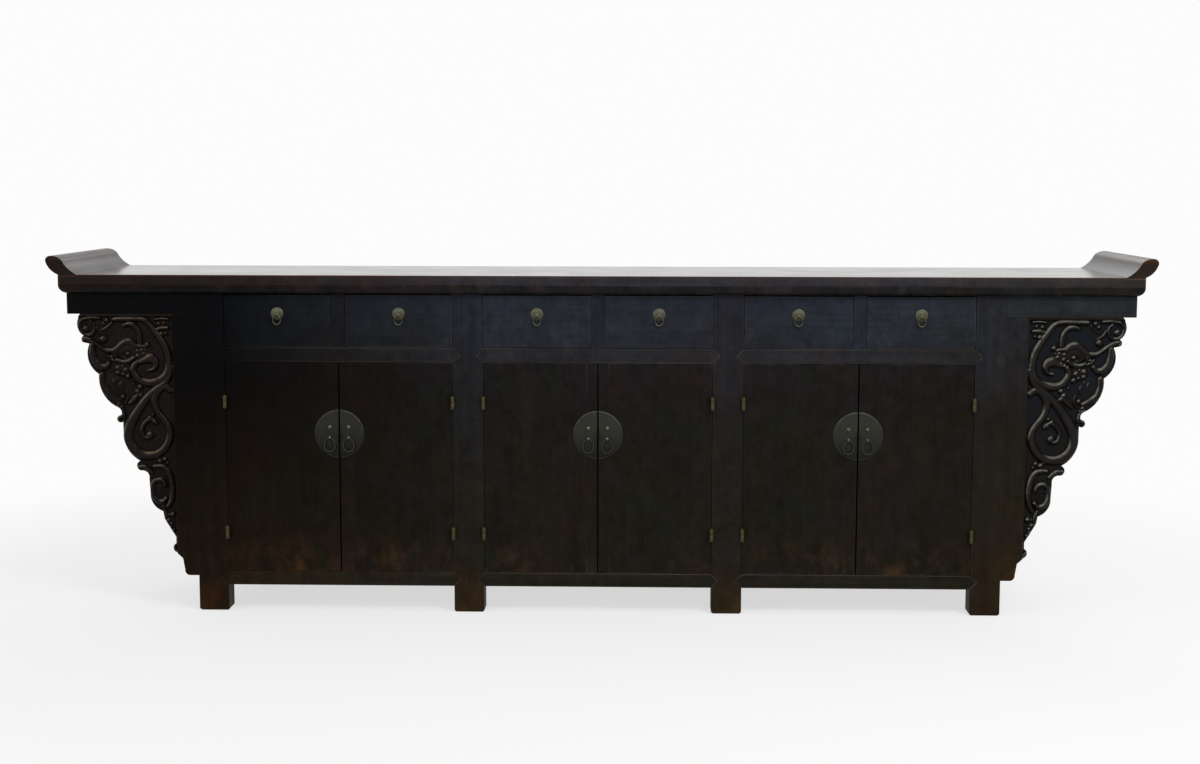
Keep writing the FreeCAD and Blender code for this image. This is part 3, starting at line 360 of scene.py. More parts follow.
# The dark stop at 0.8715, on the lower curve of the top's edge, is a painted shade.
TOP_SHADES = [
    (0.868, (0.0102, 0.011, 0.0116)), (0.8715, (0.0054, 0.0046, 0.003)),
    (0.8745, (0.0258, 0.0254, 0.03)), (0.8945, (0.0318, 0.03, 0.0362)), (0.8985, (0.044, 0.027, 0.0235)),
]
# The dark stop at 0.8715 here too is a painted shade.
FLANGE_SHADES = [
    (0.868, (0.0085, 0.0088, 0.0085)), (0.8715, (0.007, 0.0062, 0.005)), (0.88, (0.0165, 0.015, 0.015)),
    (0.915, (0.0185, 0.016, 0.0155)), (0.935, (0.024, 0.0165, 0.014)), (0.947, (0.05, 0.024, 0.0165)),
]
INNER_SHADES = [(0, (0.1, 0.062, 0.034)), (0.5, (0.13, 0.082, 0.046)), (0.9, (0.12, 0.076, 0.044))]
BACK_SHADES = [(0, (0.06, 0.038, 0.022)), (0.5, (0.055, 0.036, 0.022)), (0.9, (0.05, 0.034, 0.022))]
RED_PATCH = (0.0225, 0.0112, 0.0105)
BLUE_PATCH = (0.014, 0.0175, 0.0235)
GREEN_PATCH = (0.0085, 0.013, 0.0085)
VIOLET_PATCH = (0.0165, 0.011, 0.018)
BROWN_WEAR = (0.08, 0.046, 0.028)
PALE_WEAR = (0.19, 0.16, 0.13)
DOOR_WEAR = (0.095, 0.072, 0.05)
RED_WEAR = (0.165, 0.068, 0.045)
INNER_WEAR = (0.2, 0.14, 0.09)
BACK_WEAR = (0.13, 0.09, 0.06)
SCUFF_SHADE = (0.07, 0.038, 0.017)
INNER_PATCHES = [((0.07, 0.042, 0.024), 0.5)]
BACK_PATCHES = [((0.04, 0.026, 0.016), 0.5)]
UPRIGHT_PATCHES = [(RED_PATCH, 0.35), (GREEN_PATCH, 0.3), (BLUE_PATCH, 0.3)]
DOOR_PATCHES = [(RED_PATCH, 0.35), (GREEN_PATCH, 0.5), (VIOLET_PATCH, 0.35)]
DRAWER_PATCHES = [(VIOLET_PATCH, 0.3), (GREEN_PATCH, 0.25), (BLUE_PATCH, 0.4)]
TOP_PATCHES = [((0.034, 0.0175, 0.019), 0.45), ((0.02, 0.021, 0.03), 0.6), ((0.06, 0.034, 0.023), 0.35)]
DOOR_ENDS = (0.11, 0.668)

top_looks = {"patches": TOP_PATCHES, "worn_and_highlit": RED_WEAR, "gloss": 0.05, "wander": 1.6 * MM}
bare_looks = {"heights": INNER_SHADES, "patches": INNER_PATCHES, "worn_and_highlit": INNER_WEAR, "gloss": 0.25,
              "shine": (0.55, 0.8), "wear": 0.5}
woods = {
    "posts": wood("lacquer_upright", "Z", FRAME_SHADES, UPRIGHT_PATCHES, BROWN_WEAR, wear=0.45, scuffs=0.8),
    "rails": wood("lacquer_rails", "X", RAIL_SHADES, UPRIGHT_PATCHES, PALE_WEAR, wear=0.75, wander=0.02),
    "frieze": wood("lacquer_frieze", "X", DRAWER_SHADES, DRAWER_PATCHES, BROWN_WEAR, wear=0.35, streaks=0.1),
    "drawers": wood("lacquer_drawers", "X", DRAWER_SHADES, DRAWER_PATCHES, PALE_WEAR, wear=0.45,
                    streaks=0.08),
    "doors": wood("lacquer_doors", "Z", DOOR_SHADES, DOOR_PATCHES, DOOR_WEAR, wear=0.65, streaks=0.14,
                  scuffs=0.9, ends=DOOR_ENDS),
    "ends": wood("lacquer_ends", "Y", FRAME_SHADES, UPRIGHT_PATCHES, BROWN_WEAR, wear=0.5),
    "panels": wood("lacquer_panels", "Z", DOOR_SHADES, DOOR_PATCHES, BROWN_WEAR, wear=0.5),
    "top": wood("lacquer_top", "X", TOP_SHADES, shine=(0.12, 0.2), wear=0.8, wear_reach=7 * MM,
                grain_depth=0.06 * MM, upper_gloss=(0.6, 0.3, 0.4), tint=(1, 0.92, 0.84), end_painted_shade=0.5,
                **top_looks),
    "flange": wood("lacquer_flange", "Y", FLANGE_SHADES, shine=(0.28, 0.36), wear=0.95, wear_reach=6 * MM,
                   grain_depth=0.1 * MM, upper_gloss=(0.2, 0.2, 0.2), tint=(0.97, 1, 0.92), end_painted_shade=0.55,
                   wear_least=0.3, **top_looks),
    "inner_x": wood("bare_wood_along", "X", **bare_looks),
    "inner_y": wood("bare_wood_deep", "Y", **bare_looks),
    "back_x": wood("back_wood_along", "X", BACK_SHADES, BACK_PATCHES, BACK_WEAR, gloss=0.2,
                   shine=(0.5, 0.75), wear=0.5, streaks=0.3),
}

# Lacquer of the carving

# The direction that the painted highlight on the carving faces: up, to the left and towards the front.
PAINTED_LIGHT_SIDE = (-0.52, -0.35, 0.78)
# Shades by relief: darker low down and lighter on the tops, partly a painted shade in the low ground and
# partly wear on the tops.
CARVING_SHADES = [
    (0.08, (0.0072, 0.0062, 0.0056)), (0.3, (0.0064, 0.0048, 0.0042)), (0.55, (0.0082, 0.006, 0.0052)),
    (0.8, (0.012, 0.0092, 0.008)), (1, (0.018, 0.015, 0.0127)),
]
CARVING_PATCHES = [(0.015, 0.008, 0.0085), (0.0075, 0.01, 0.0075)]
PAINTED_BLUE_REFLECTION = (0.006, 0.008, 0.0118)
PAINTED_HIGHLIGHT = (0.185, 0.178, 0.148)
UNDERSIDE_PAINTED_SHADE = (0.0045, 0.003, 0.003)
CREVICE_PAINTED_SHADE = (0.0022, 0.0016, 0.0014)
FOOT_SHADE = (0.06, 0.034, 0.014)
LEFT_CARVING_TINT = (1.1, 0.92, 0.82)


def carved_wood():
    """Lacquer over the carving: dark in the ground, brown on the stems, with painted highlights on the flanks
    that face up and left, painted shade on the flanks that face down and round their feet, and a painted
    bluish reflection high up at the right.
    """
    material, tree = new_material("lacquer_carving")
    place = place_of(tree)
    parts = split(place)
    relief = add_node(tree, "ShaderNodeAttribute", attribute_name="relief").outputs["Fac"]
    crevice_painted_shade = add_node(tree, "ShaderNodeAttribute", attribute_name="crevice_painted_shade").outputs["Fac"]
    rubbed_and_lit = vector_math("DOT_PRODUCT", facing(tree), PAINTED_LIGHT_SIDE, result="Value")
    cloudy = noise(place, 22, 4, 0.65)
    spots = noise(place, 75, 4, 0.65)
    fine = noise(place, 320, 3, 0.6)
    level = math_node("ADD", relief, ranged(cloudy, 0.3, 0.7, -0.12, 0.12))
    base = ramp(level, CARVING_SHADES)
    for number, patch in enumerate(CARVING_PATCHES):
        shift = (2.2 * number + 0.5, 1.1, 3.3 * number)
        spread = noise(place, 18 + 9 * number, 4, 0.65, shift=shift)
        base = mixed(ranged(spread, 0.5, 0.66, 0, 0.6), base, patch)
    # Painted reflection: a bluish tint on the low ground, high up at the right.
    upper_right = product(ranged(parts["Z"], 0.42, 0.62), ranged(parts["X"], 0, 0.8))
    base = mixed(product(upper_right, ranged(level, 0.5, 0.3), 0.85), base, PAINTED_BLUE_REFLECTION)
    # Painted highlight: pale on the upper flanks of the stems that face up and to the left, broken up by
    # noise.
    ridge = ranged(relief, 0.34, 0.6)
    worn_and_highlit = product(ranged(rubbed_and_lit, 0.53, 0.74), ridge, ranged(spots, 0.34, 0.6, 0.35, 1))
    base = mixed(product(worn_and_highlit, 0.9), base, PAINTED_HIGHLIGHT)
    # Painted shade on the flanks that face down.
    painted_underside_shade = product(ranged(upness(tree), -0.1, -0.55), 0.6)
    base = mixed(painted_underside_shade, base, UNDERSIDE_PAINTED_SHADE)
    # Painted shade in the narrow gap round the foot of each stem and bead.
    base = mixed(product(crevice_painted_shade, 0.8), base, CREVICE_PAINTED_SHADE)
    foot = product(ranged(parts["Z"], 0.22, 0.11), ranged(cloudy, 0.4, 0.62), 0.7)
    base = mixed(foot, base, FOOT_SHADE)
    # Painted shade: the carving at the left end is darker.
    base = scaled(base, ranged(parts["X"], -1.1, -0.9, 0.72, 1))
    base = tinted(base, ranged(parts["X"], -0.9, -1.1), LEFT_CARVING_TINT)
    roughness = ranged(math_node("ADD", relief, cloudy), 0.4, 1.5, 0.45, 0.22)
    bump = math_node("ADD", product(fine, 0.4), spots)
    finish_material(base, roughness, 0.06, bump, 0.3 * MM)
    return material


# Brass


def brass(name, dull, bright, metallic, roughness, gloss=0.15, fades=None, rim=0, left_painted_shade_share=1):
    """Old brass: dull patina in patches, bright with wear on its edges, with a painted highlight where they
    face up; a bright rim on upper bevels is a painted highlight, and darkening towards the bottom and the
    left is painted shade.
    """
    material, tree = new_material(name)
    place = place_of(tree)
    upward = upness(tree)
    patina = noise(place, 60, 5, 0.65)
    speckle = noise(place, 420, 3, 0.6)
    half_bright = [0.75 * a + 0.1 * b for a, b in zip(dull, bright)]
    base = mixed(ranged(patina, 0.35, 0.68), dull, half_bright)
    patchy = ranged(patina, 0.3, 0.6, 0.35, 1)
    # Edges bright with wear, more where they face up: that extra brightness is a painted highlight.
    rubbed_and_lit = product(edge_nearness(tree, 1.6 * MM), patchy, ranged(upward, -0.3, 0.5, 0.3, 1))
    base = mixed(rubbed_and_lit, base, bright)
    # Painted shade: darker towards the bottom and the left, a little lighter at the top.
    if fades:
        parts = split(place)
        painted_left_shade = ranged(parts["X"], -0.75, -0.1, left_painted_shade_share, 1)
        base = scaled(base, product(ranged(parts["Z"], *fades), painted_left_shade))
    # Painted highlight: the upper part of the rim's bevel, where it faces up, is made bright.
    if rim:
        patchy = ranged(patina, 0.3, 0.55, 0.3, 1)
        base = mixed(product(ranged(upward, 0.06, 0.24), patchy, rim), base, bright)
    spread = math_node("ADD", patina, product(speckle, 0.5))
    rough = ranged(spread, 0.5, 1, roughness - 0.08, roughness + 0.14)
    bump = math_node("ADD", product(speckle, 0.4), patina)
    finish_material(base, rough, gloss, bump, 0.12 * MM, Metallic=metallic)
    return material


# The plate and the pulls are painted lighter at the top and darker towards the bottom, the plate darker at
# the left, and their upper rims carry a painted highlight.
metals = {
    "plate": brass("brass_dark", (0.0205, 0.0205, 0.0158), (0.1, 0.102, 0.082), 0.2, 0.46,
                   fades=(0.425, 0.495, 0.3, 1.1), rim=0.4, left_painted_shade_share=0.68),
    "stud": brass("brass_studs", (0.16, 0.135, 0.085), (0.52, 0.46, 0.34), 0.8, 0.34, 0.3),
    "ring": brass("brass_rings", (0.03, 0.029, 0.02), (0.13, 0.125, 0.095), 0.5, 0.4),
    "pull": brass("brass_pale", (0.085, 0.083, 0.052), (0.26, 0.25, 0.18), 0.5, 0.42,
                  fades=(0.784, 0.806, 0.45, 1.15), rim=0.5),
    "hinge": brass("brass_yellow", (0.055, 0.046, 0.018), (0.26, 0.22, 0.1), 0.7, 0.4),
}


# Meshes

TO_AXIS = {"Y": Matrix.Rotation(math.pi / 2, 4, "X"), "Z": Matrix.Identity(4)}


def new_object(name, data):
    made = bpy.data.objects.new(name, data)
    bpy.context.scene.collection.objects.link(made)
    return made


def new_piece(name, form, materials, body, node):
    """An object made from a bmesh, riding on a body in place of a node of the solids."""
    bmesh.ops.recalc_face_normals(form, faces=form.faces)
    mesh = bpy.data.meshes.new(name)
    form.to_mesh(mesh)
    form.free()
    for material in materials:
        mesh.materials.append(material)
    piece = new_object(name, mesh)
    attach(piece, body)
    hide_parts(node)


def full_turn(steps):
    """Angles spread evenly round a circle."""
    return [math.tau * step / steps for step in range(steps)]


def skinned(target, rings, closed, sides, material_index):
    """Smooth faces between each ring of corners and the next, where a ring may be a single corner."""
    following = rings[1:] + rings[:1] if closed else rings[1:]
    for lower, upper in zip(rings, following):
        for step in range(sides):
            after = (step + 1) % sides
            corners = [lower[step % len(lower)], lower[after % len(lower)]]
            corners += [upper[after % len(upper)], upper[step % len(upper)]]
            distinct = list(dict.fromkeys(corners))
            if len(distinct) > 2:
                face = target.faces.new(distinct)
                face.smooth = True
                face.material_index = material_index


def turned(target, profile, place, axis, segments, material_index=0):
    """A closed form turned round an axis through a place, its profile as pairs of radius and height."""
    to_place = Matrix.Translation(place) @ TO_AXIS[axis]
    rings = []
    for radius, height in profile:
        ring = []
        for angle in full_turn(segments if radius else 1):
            corner = Vector((radius * math.cos(angle), radius * math.sin(angle), height))
            ring.append(target.verts.new(to_place @ corner))
        rings.append(ring)
    skinned(target, rings, False, segments, material_index)


def swept(target, path, radii, sides=12, closed=True, material_index=0):
    """A round wire along a path, its radius given at each point."""
    rings = []
    count = len(path)
    for index, point in enumerate(path):
        before = path[index - 1] if closed or index else point
        after = path[(index + 1) % count] if closed or index + 1 < count else point
        heading = (after - before).normalized()
        along_x = abs(heading.x) > 0.999
        across = (heading.orthogonal() if along_x else heading.cross(Vector((1, 0, 0)))).normalized()
        if abs(heading.y) < 1e-6 and closed:
            across = Vector((0, 1, 0))
        other = heading.cross(across)
        ring = []
        for angle in full_turn(sides):
            offset = across * math.cos(angle) + other * math.sin(angle)
            ring.append(target.verts.new(point + offset * radii[index]))
        rings.append(ring)
    skinned(target, rings, closed, sides, material_index)
    if not closed:
        for ring in (rings[0], rings[-1]):
            target.faces.new(ring).material_index = material_index


def middle(low, high):
    return (low + high) / 2


def hanging_side(count):
    """Odd doors hang at the left of their bay, even ones at the right."""
    return -1 if count % 2 else 1


# Rings and the eyes that hold them

RING_STEPS = 48
RING_PINCH = 0.2
RING_TAPER = 0.12
EYE_STEPS = 20
EYE_HALF_OPENING = math.radians(38)
STUD_INDEX = 1
PLATE_EDGE = 0.5 * MM


def ring_pull(node, material, wire_radius):
    """A ring a little narrower at the top, where it hangs, and thicker at its foot."""
    low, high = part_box(node)
    reach = (high.x - low.x) / 2 - wire_radius
    hang = Vector((middle(low.x, high.x), middle(low.y, high.y), high.z - wire_radius))
    centre = hang - Vector((0, 0, (high.z - low.z) / 2 - wire_radius))
    drop = hang.z - centre.z
    path = []
    radii = []
    for angle in full_turn(RING_STEPS):
        rise = (1 + math.cos(angle)) / 2
        pinch = 1 - RING_PINCH * rise ** 2
        path.append(centre + Vector((reach * math.sin(angle) * pinch, 0, drop * math.cos(angle))))
        radii.append(wire_radius * (1 - RING_TAPER * rise))
    wire = bmesh.new()
    swept(wire, path, radii)
    new_piece(f"{node}_pull", wire, [material], node, node)


def eye(target, centre, face, loop_radius, wire_radius):
    """A bent wire whose loop stands out from a plate, with a small washer under it."""
    path = []
    for step in range(EYE_STEPS + 1):
        angle = EYE_HALF_OPENING + (math.tau - 2 * EYE_HALF_OPENING) * step / EYE_STEPS
        path.append(centre + Vector((0, loop_radius * math.cos(angle), loop_radius * math.sin(angle))))
    feet = [Vector((end.x, face, end.z)) for end in (path[0], path[-1])]
    path = [feet[0], *path, feet[1]]
    swept(target, path, [wire_radius] * len(path), 10, False, STUD_INDEX)
    rim = 0.65 * loop_radius + 0.6 * wire_radius
    profile = [(0, 0), (rim, 0), (rim, 0.4 * MM), (0.8 * rim, 0.9 * MM), (0.3 * rim, 1.1 * MM), (0, 1.1 * MM)]
    turned(target, profile, Vector((centre.x, face, centre.z)), "Y", 24, STUD_INDEX)


def lock(count):
    """Half of a round lock plate, with the eye for a padlock above and the eye of the ring below."""
    door = f"door_{count}"
    side = hanging_side(count)
    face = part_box(f"{door}_leaf")[0].y
    ring_low, ring_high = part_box(f"{door}_ring")
    hang_z = ring_high.z - RING_WIRE * WIRE_TOP_SHARE
    centre_z = hang_z + RING_EYE_DROP
    eye_x = middle(ring_low.x, ring_high.x)
    centre_x = eye_x - side * EYE_OFFSET
    radius = LOCK_PLATE_RADIUS
    thick = LOCK_PLATE_THICKNESS
    profile = [(0, 0), (radius, 0), (radius, PLATE_EDGE), (radius - 3.4 * MM, thick + 0.1 * MM),
               (radius - 5 * MM, thick), (radius - 6 * MM, thick - 0.3 * MM),
               (radius - 7.5 * MM, thick - 0.1 * MM), (radius * 0.5, thick - 0.1 * MM), (0, thick)]
    plate = bmesh.new()
    turned(plate, profile, Vector((centre_x, face, centre_z)), "Y", 96)
    cut_at = (centre_x + side * LOCK_PLATE_HALF_GAP, 0, 0)
    geometry = plate.verts[:] + plate.edges[:] + plate.faces[:]
    cut_away = {"plane_co": cut_at, "plane_no": (-side, 0, 0), "clear_outer": True}
    cut = bmesh.ops.bisect_plane(plate, geom=geometry, **cut_away)
    rim = [item for item in cut["geom_cut"] if isinstance(item, bmesh.types.BMEdge)]
    bmesh.ops.contextual_create(plate, geom=rim)
    plate_face = face - thick
    padlock_eye = Vector((eye_x, plate_face - LOCK_EYE_REACH, centre_z + LOCK_EYE_RISE))
    eye(plate, padlock_eye, plate_face, LOCK_EYE_HOLE + LOCK_EYE_WIRE, LOCK_EYE_WIRE)
    ring_eye = Vector((eye_x, middle(ring_low.y, ring_high.y), hang_z))
    eye(plate, ring_eye, plate_face, *RING_EYE)
    shades = [metals["plate"], metals["stud"]]
    new_piece(f"{door}_lock", plate, shades, door, f"{door}_metalwork")


def drawer_pull(drawer):
    """A round plate with a low dome and the eye of its ring."""
    ring_low, ring_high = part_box(f"{drawer}_ring")
    low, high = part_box(f"{drawer}_pull")
    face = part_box(f"{drawer}_front")[0].y
    radius = PULL_PLATE_RADIUS
    thick = PULL_PLATE_THICKNESS
    centre = Vector((middle(low.x, high.x), face, high.z - radius))
    profile = [(0, 0), (radius, 0), (radius, PLATE_EDGE), (radius - 2 * MM, thick),
               (radius - 3.2 * MM, thick - 0.5 * MM), (radius - 5 * MM, thick), (0, thick + 0.3 * MM)]
    plate = bmesh.new()
    turned(plate, profile, centre, "Y", 48)
    hang_z = ring_high.z - PULL_WIRE * WIRE_TOP_SHARE
    eye(plate, Vector((centre.x, middle(ring_low.y, ring_high.y), hang_z)), face - thick, *PULL_EYE)
    shades = [metals["pull"], metals["stud"]]
    new_piece(f"{drawer}_pull_plate", plate, shades, drawer, f"{drawer}_pull")


# Hinges

# Ends of a knuckle: share of its radius and distance from the end
DOMED_END = [(0.55, 0.2 * MM), (0.9, 1.2 * MM), (1, 2.6 * MM)]
FLAT_END = [(0.94, 0), (1, 0.5 * MM)]
SHEET_BEVEL = 0.25 * MM


def knuckle(target, place, low, high, low_end, high_end):
    """A barrel round an upright pin, with a domed end where it is free."""
    rising = [(share * KNUCKLE_RADIUS, low + away) for share, away in low_end]
    falling = [(share * KNUCKLE_RADIUS, high - away) for share, away in reversed(high_end)]
    turned(target, [(0, low), *rising, *falling, (0, high)], Vector((*place, 0)), "Z", 28)


def box_between(target, low, high):
    """A strip of sheet brass between two corners."""
    size = Vector(high) - Vector(low)
    centre = (Vector(high) + Vector(low)) / 2
    to_place = Matrix.Translation(centre) @ Matrix.Diagonal((*size, 1))
    made = bmesh.ops.create_cube(target, size=1, matrix=to_place)
    edges = list({edge for vert in made["verts"] for edge in vert.link_edges})
    bmesh.ops.bevel(target, geom=edges, offset=SHEET_BEVEL, segments=1, affect="EDGES")


def hinge_places(count):
    """The side that a door hangs on, its outer edge, its pin's place and the heights of its two hinges."""
    side = hanging_side(count)
    low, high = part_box(f"door_{count}_leaf")
    outer = low.x if side < 0 else high.x
    pin_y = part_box("front_legs")[0].y - KNUCKLE_CLEARANCE - KNUCKLE_RADIUS
    pin = (outer + side * DOOR_SIDE_GAP / 2, pin_y)
    return side, outer, pin, (low.z + HINGE_FROM_END, high.z - HINGE_FROM_END)


def door_hinges(count):
    """The leaves on the door, each with the upper knuckle of its hinge."""
    door = f"door_{count}"
    side, outer, pin, centres = hinge_places(count)
    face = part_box(f"{door}_leaf")[0].y
    x_low, x_high = sorted((outer, outer - side * HINGE_LEAF_THICKNESS))
    metal = bmesh.new()
    for centre in centres:
        low = centre + KNUCKLE_GAP / 2
        high = centre + HINGE_HEIGHT / 2
        knuckle(metal, pin, low, high, FLAT_END, DOMED_END)
        box_between(metal, (x_low, pin[1], low), (x_high, face + DOOR_NECK_REACH, high))
        box_between(metal, (x_low, face, centre - HINGE_HEIGHT / 2), (x_high, face + DOOR_LEAF_REACH, high))
    new_piece(f"{door}_hinges", metal, [metals["hinge"]], door, f"{door}_metalwork")


def post_hinges():
    """The leaves on the posts, each with the lower knuckle of its hinge."""
    metal = bmesh.new()
    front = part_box("front_legs")[0].y
    for count in DOORS:
        side, outer, pin, centres = hinge_places(count)
        post = outer + side * DOOR_SIDE_GAP
        x_low, x_high = sorted((post, post + side * HINGE_LEAF_THICKNESS))
        for centre in centres:
            low = centre - HINGE_HEIGHT / 2
            high = centre - KNUCKLE_GAP / 2
            top = centre + HINGE_HEIGHT / 2
            knuckle(metal, pin, low, high, DOMED_END, FLAT_END)
            box_between(metal, (x_low, pin[1], low), (x_high, front + POST_NECK_REACH, high))
            box_between(metal, (x_low, front, low), (x_high, front + POST_LEAF_REACH, top))
    new_piece("post_hinges", metal, [metals["hinge"]], "root", "post_hinge_leaves")


# Carving: places in millimetres, outwards from the plain strip and down from the frieze

# Sides of the outline, each from the end of the one before: straight to a place, or by an arc through one
OUTLINE_START = (241, 0)
OUTLINE_SIDES = [
    [(253, 35), (237, 59)], [(243, 68), (236, 77)], [(222, 80)], [(228, 112), (199, 161)],
    [(191, 210), (148, 251)], [(141, 262), (143, 271)], [(154, 279), (138, 288)], [(138, 330)],
    [(126, 364), (95, 393)], [(104, 409), (88, 419)], [(76, 425), (72, 440)], [(70, 480)],
    [(62, 510), (37, 529)], [(34, 547)], [(22, 568), (4, 598)], [(4, 616)], [(12, 628), (-2, 641)],
    [(-16, 654)], [(-21, 684)], [(-25, 696), (-38, 700)],
]

# Places along each raised stem, its widths spread evenly along it and its height as a share of the relief
STEMS = [
    # The ring round the dragon's head, from the bar at the top to the neck
    ([(152, 15), (120, 14), (86, 14), (67, 20), (55, 33), (42, 52), (27, 74), (16, 97), (11, 122), (12, 146),
      (22, 165), (42, 178), (66, 183), (88, 177), (101, 162), (106, 147), (101, 134)],
     (11, 11, 12, 15, 16, 16, 17, 18, 16, 13), 1),
    # The long stem that crosses to the great scroll, goes round it and ends in the hook
    ([(4, 140), (9, 163), (24, 184), (44, 199), (64, 216), (84, 240), (102, 266), (116, 291), (124, 318),
      (121, 344), (106, 365), (83, 377), (59, 377), (36, 366), (20, 346), (12, 322), (16, 300), (29, 280),
      (42, 263), (50, 243), (50, 222), (40, 203), (22, 193), (7, 202)],
     (8, 15, 17, 19, 22, 22, 21, 19, 16, 15, 15, 17, 15), 0.92),
    # The curl inside the great scroll
    ([(47, 291), (58, 281), (72, 284), (83, 296), (87, 312), (82, 327), (70, 331)], (8, 9, 10, 10, 9), 0.85),
    # The crest over the head, the horn and the crown that runs out into the snout
    ([(128, 31), (115, 27), (101, 31), (91, 43), (87, 58), (86, 76)], (9, 12, 13, 12), 0.9),
    ([(72, 88), (84, 86), (97, 85)], (8, 10, 11), 0.9),
    ([(97, 86), (106, 78), (120, 74), (134, 81), (147, 92), (160, 98), (176, 97), (191, 88), (205, 77),
      (220, 68), (233, 66)], (13, 17, 16, 13, 11, 10, 9, 8), 1),
    # Jaw, tongue and cheek
    ([(103, 117), (117, 126), (133, 128), (148, 123)], (9, 12, 9), 0.9),
    ([(140, 96), (150, 104), (152, 114)], (7, 8, 7), 0.75),
    ([(152, 126), (163, 121), (170, 112)], (6, 7, 5), 0.7),
    ([(86, 128), (75, 123), (61, 117), (50, 122), (45, 135), (52, 147), (65, 150)],
     (10, 15, 22, 19, 13, 9, 7), 0.95),
    # Lobes at the outer side
    ([(213, 82), (213, 105), (207, 125), (194, 139), (179, 141), (170, 132)], (10, 15, 16, 16, 11), 0.9),
    ([(189, 162), (189, 185), (182, 205), (167, 218), (149, 227)], (13, 15, 16, 15, 10), 0.85),
    ([(192, 12), (215, 11), (235, 15)], (8, 9, 9), 0.9),
    ([(236, 14), (246, 28), (243, 46), (231, 56), (216, 56), (206, 44), (207, 28), (216, 20)],
     (9, 10, 9, 8, 6), 0.8),
    ([(160, 24), (171, 35), (187, 44)], (6, 8, 6), 0.7),
    ([(178, 57), (192, 49), (199, 36)], (6, 8, 6), 0.7),
    # Leaves between the upper lobes and the great scroll
    ([(93, 213), (104, 226), (117, 238)], (8, 13, 8), 0.8),
    ([(126, 205), (122, 222), (130, 238)], (6, 8, 6), 0.55),
    ([(149, 246), (138, 258), (134, 274)], (8, 11, 9), 0.75),
    ([(134, 268), (143, 274), (148, 281)], (9, 9, 8), 0.85),
    # Corner leaves at the top beside the post
    ([(11, 38), (26, 38), (44, 43)], (8, 11, 8), 0.85),
    ([(9, 14), (26, 13), (44, 15)], (6, 7, 6), 0.7),
    # Lower arm and lower scroll
    ([(97, 409), (84, 408), (72, 414), (61, 424)], (9, 10, 9, 6), 0.9),
    ([(57, 407), (40, 407), (26, 413), (17, 429), (12, 450), (10, 475), (13, 498), (22, 515)],
     (8, 13, 14, 13, 12, 10), 0.9),
    ([(29, 455), (34, 446), (46, 443), (58, 449), (63, 464), (61, 484), (52, 498), (38, 503), (27, 493)],
     (8, 11, 12, 11, 11, 13, 13, 9), 0.95),
    ([(35, 514), (28, 528), (27, 544)], (7, 7, 5), 0.7),
    ([(32, 545), (26, 560), (14, 584), (7, 606)], (8, 8, 7, 5), 0.75),
    ([(9, 624), (1, 634), (-8, 643), (-17, 651)], (5, 6, 5), 0.7),
]

# Places, radius and height share of the round beads
BEADS = [
    (172, 18, 6.5, 0.9), (181, 27, 5.5, 0.8), (229, 41, 8.5, 0.9), (183, 68, 9, 1), (237, 73, 6, 0.95),
    (20, 25, 6, 0.7), (35, 27, 6, 0.8), (28, 54, 6.5, 0.95), (16, 52, 4.5, 0.7), (40, 57, 4, 0.6),
    (66, 82, 7, 1), (118, 107, 6, 0.95), (155, 105, 5, 0.85), (161, 114, 5, 0.85),
    (158, 123, 5, 0.85), (85, 125, 6.5, 0.9), (95, 129, 6.5, 0.9), (92, 112, 6.5, 0.9),
    (76, 106, 6, 0.85), (80, 96, 6, 0.8),
    (93, 99, 6, 0.8), (70, 96, 4.5, 0.7), (104, 138, 7, 1), (57, 119, 12, 1),
    (146, 144, 7.5, 0.95), (146, 157, 7, 0.9), (125, 150, 7.5, 0.8), (119, 167, 7, 0.9),
    (132, 161, 6, 0.7), (134, 139, 5, 0.7), (88, 195, 7, 0.95), (95, 207, 7.5, 0.95),
    (87, 217, 7, 0.9), (107, 187, 5, 0.6),
    (135, 222, 6.5, 0.8), (146, 229, 6.5, 0.8), (145, 240, 6, 0.8), (138, 248, 5, 0.7),
    (65, 278, 6.5, 0.9), (52, 287, 7, 1), (57, 269, 5, 0.7), (65, 323, 9.5, 0.95), (148, 281, 5, 0.9),
    (27, 388, 6.5, 0.85), (40, 393, 7, 0.85), (48, 385, 5, 0.7), (20, 398, 5, 0.7),
    (94, 413, 7, 0.95), (29, 459, 6, 0.8), (60, 461, 6, 0.8), (46, 473, 6, 0.45), (10, 537, 6.5, 1),
    (21, 553, 6.5, 0.85), (9, 203, 7, 0.9), (14, 562, 5, 0.8), (16, 572, 5, 0.8), (9, 580, 5, 0.8),
    (20, 538, 4.5, 0.6), (8, 627, 5, 0.8),
]

# Places, half widths out and down and height share of the low swellings under the finer forms
SWELLINGS = [
    (118, 98, 36, 26, 0.76), (84, 104, 24, 26, 0.6), (134, 148, 24, 22, 0.55), (163, 192, 30, 34, 0.42),
    (158, 182, 7, 14, 0.6), (139, 191, 8, 16, 0.6), (148, 174, 6, 11, 0.55), (172, 190, 6, 13, 0.5),
    (108, 212, 22, 30, 0.35), (227, 36, 20, 22, 0.35), (188, 112, 18, 24, 0.3), (176, 40, 22, 26, 0.35),
    (26, 36, 22, 26, 0.3),
    (46, 473, 17, 26, 0.35), (20, 560, 16, 30, 0.35),
]

# Places, radius and depth share of the hollows
HOLLOWS = [(118, 107, 11, 0.3), (131, 109, 7, 0.3), (230, 28, 6, 0.3), (66, 300, 9, 0.2)]
GRID_STEP = 1.6
STRIP_COLUMNS = (-50, -35, -20, -10)
STRIP_ROW_STEP = 14
ARC_STEPS = 9
LINE_STEPS = 5
ROLL_OVER = 5
STEM_FULLNESS = 1.28
BEAD_FULLNESS = 1.15
CREVICE_WIDTH = 3.2


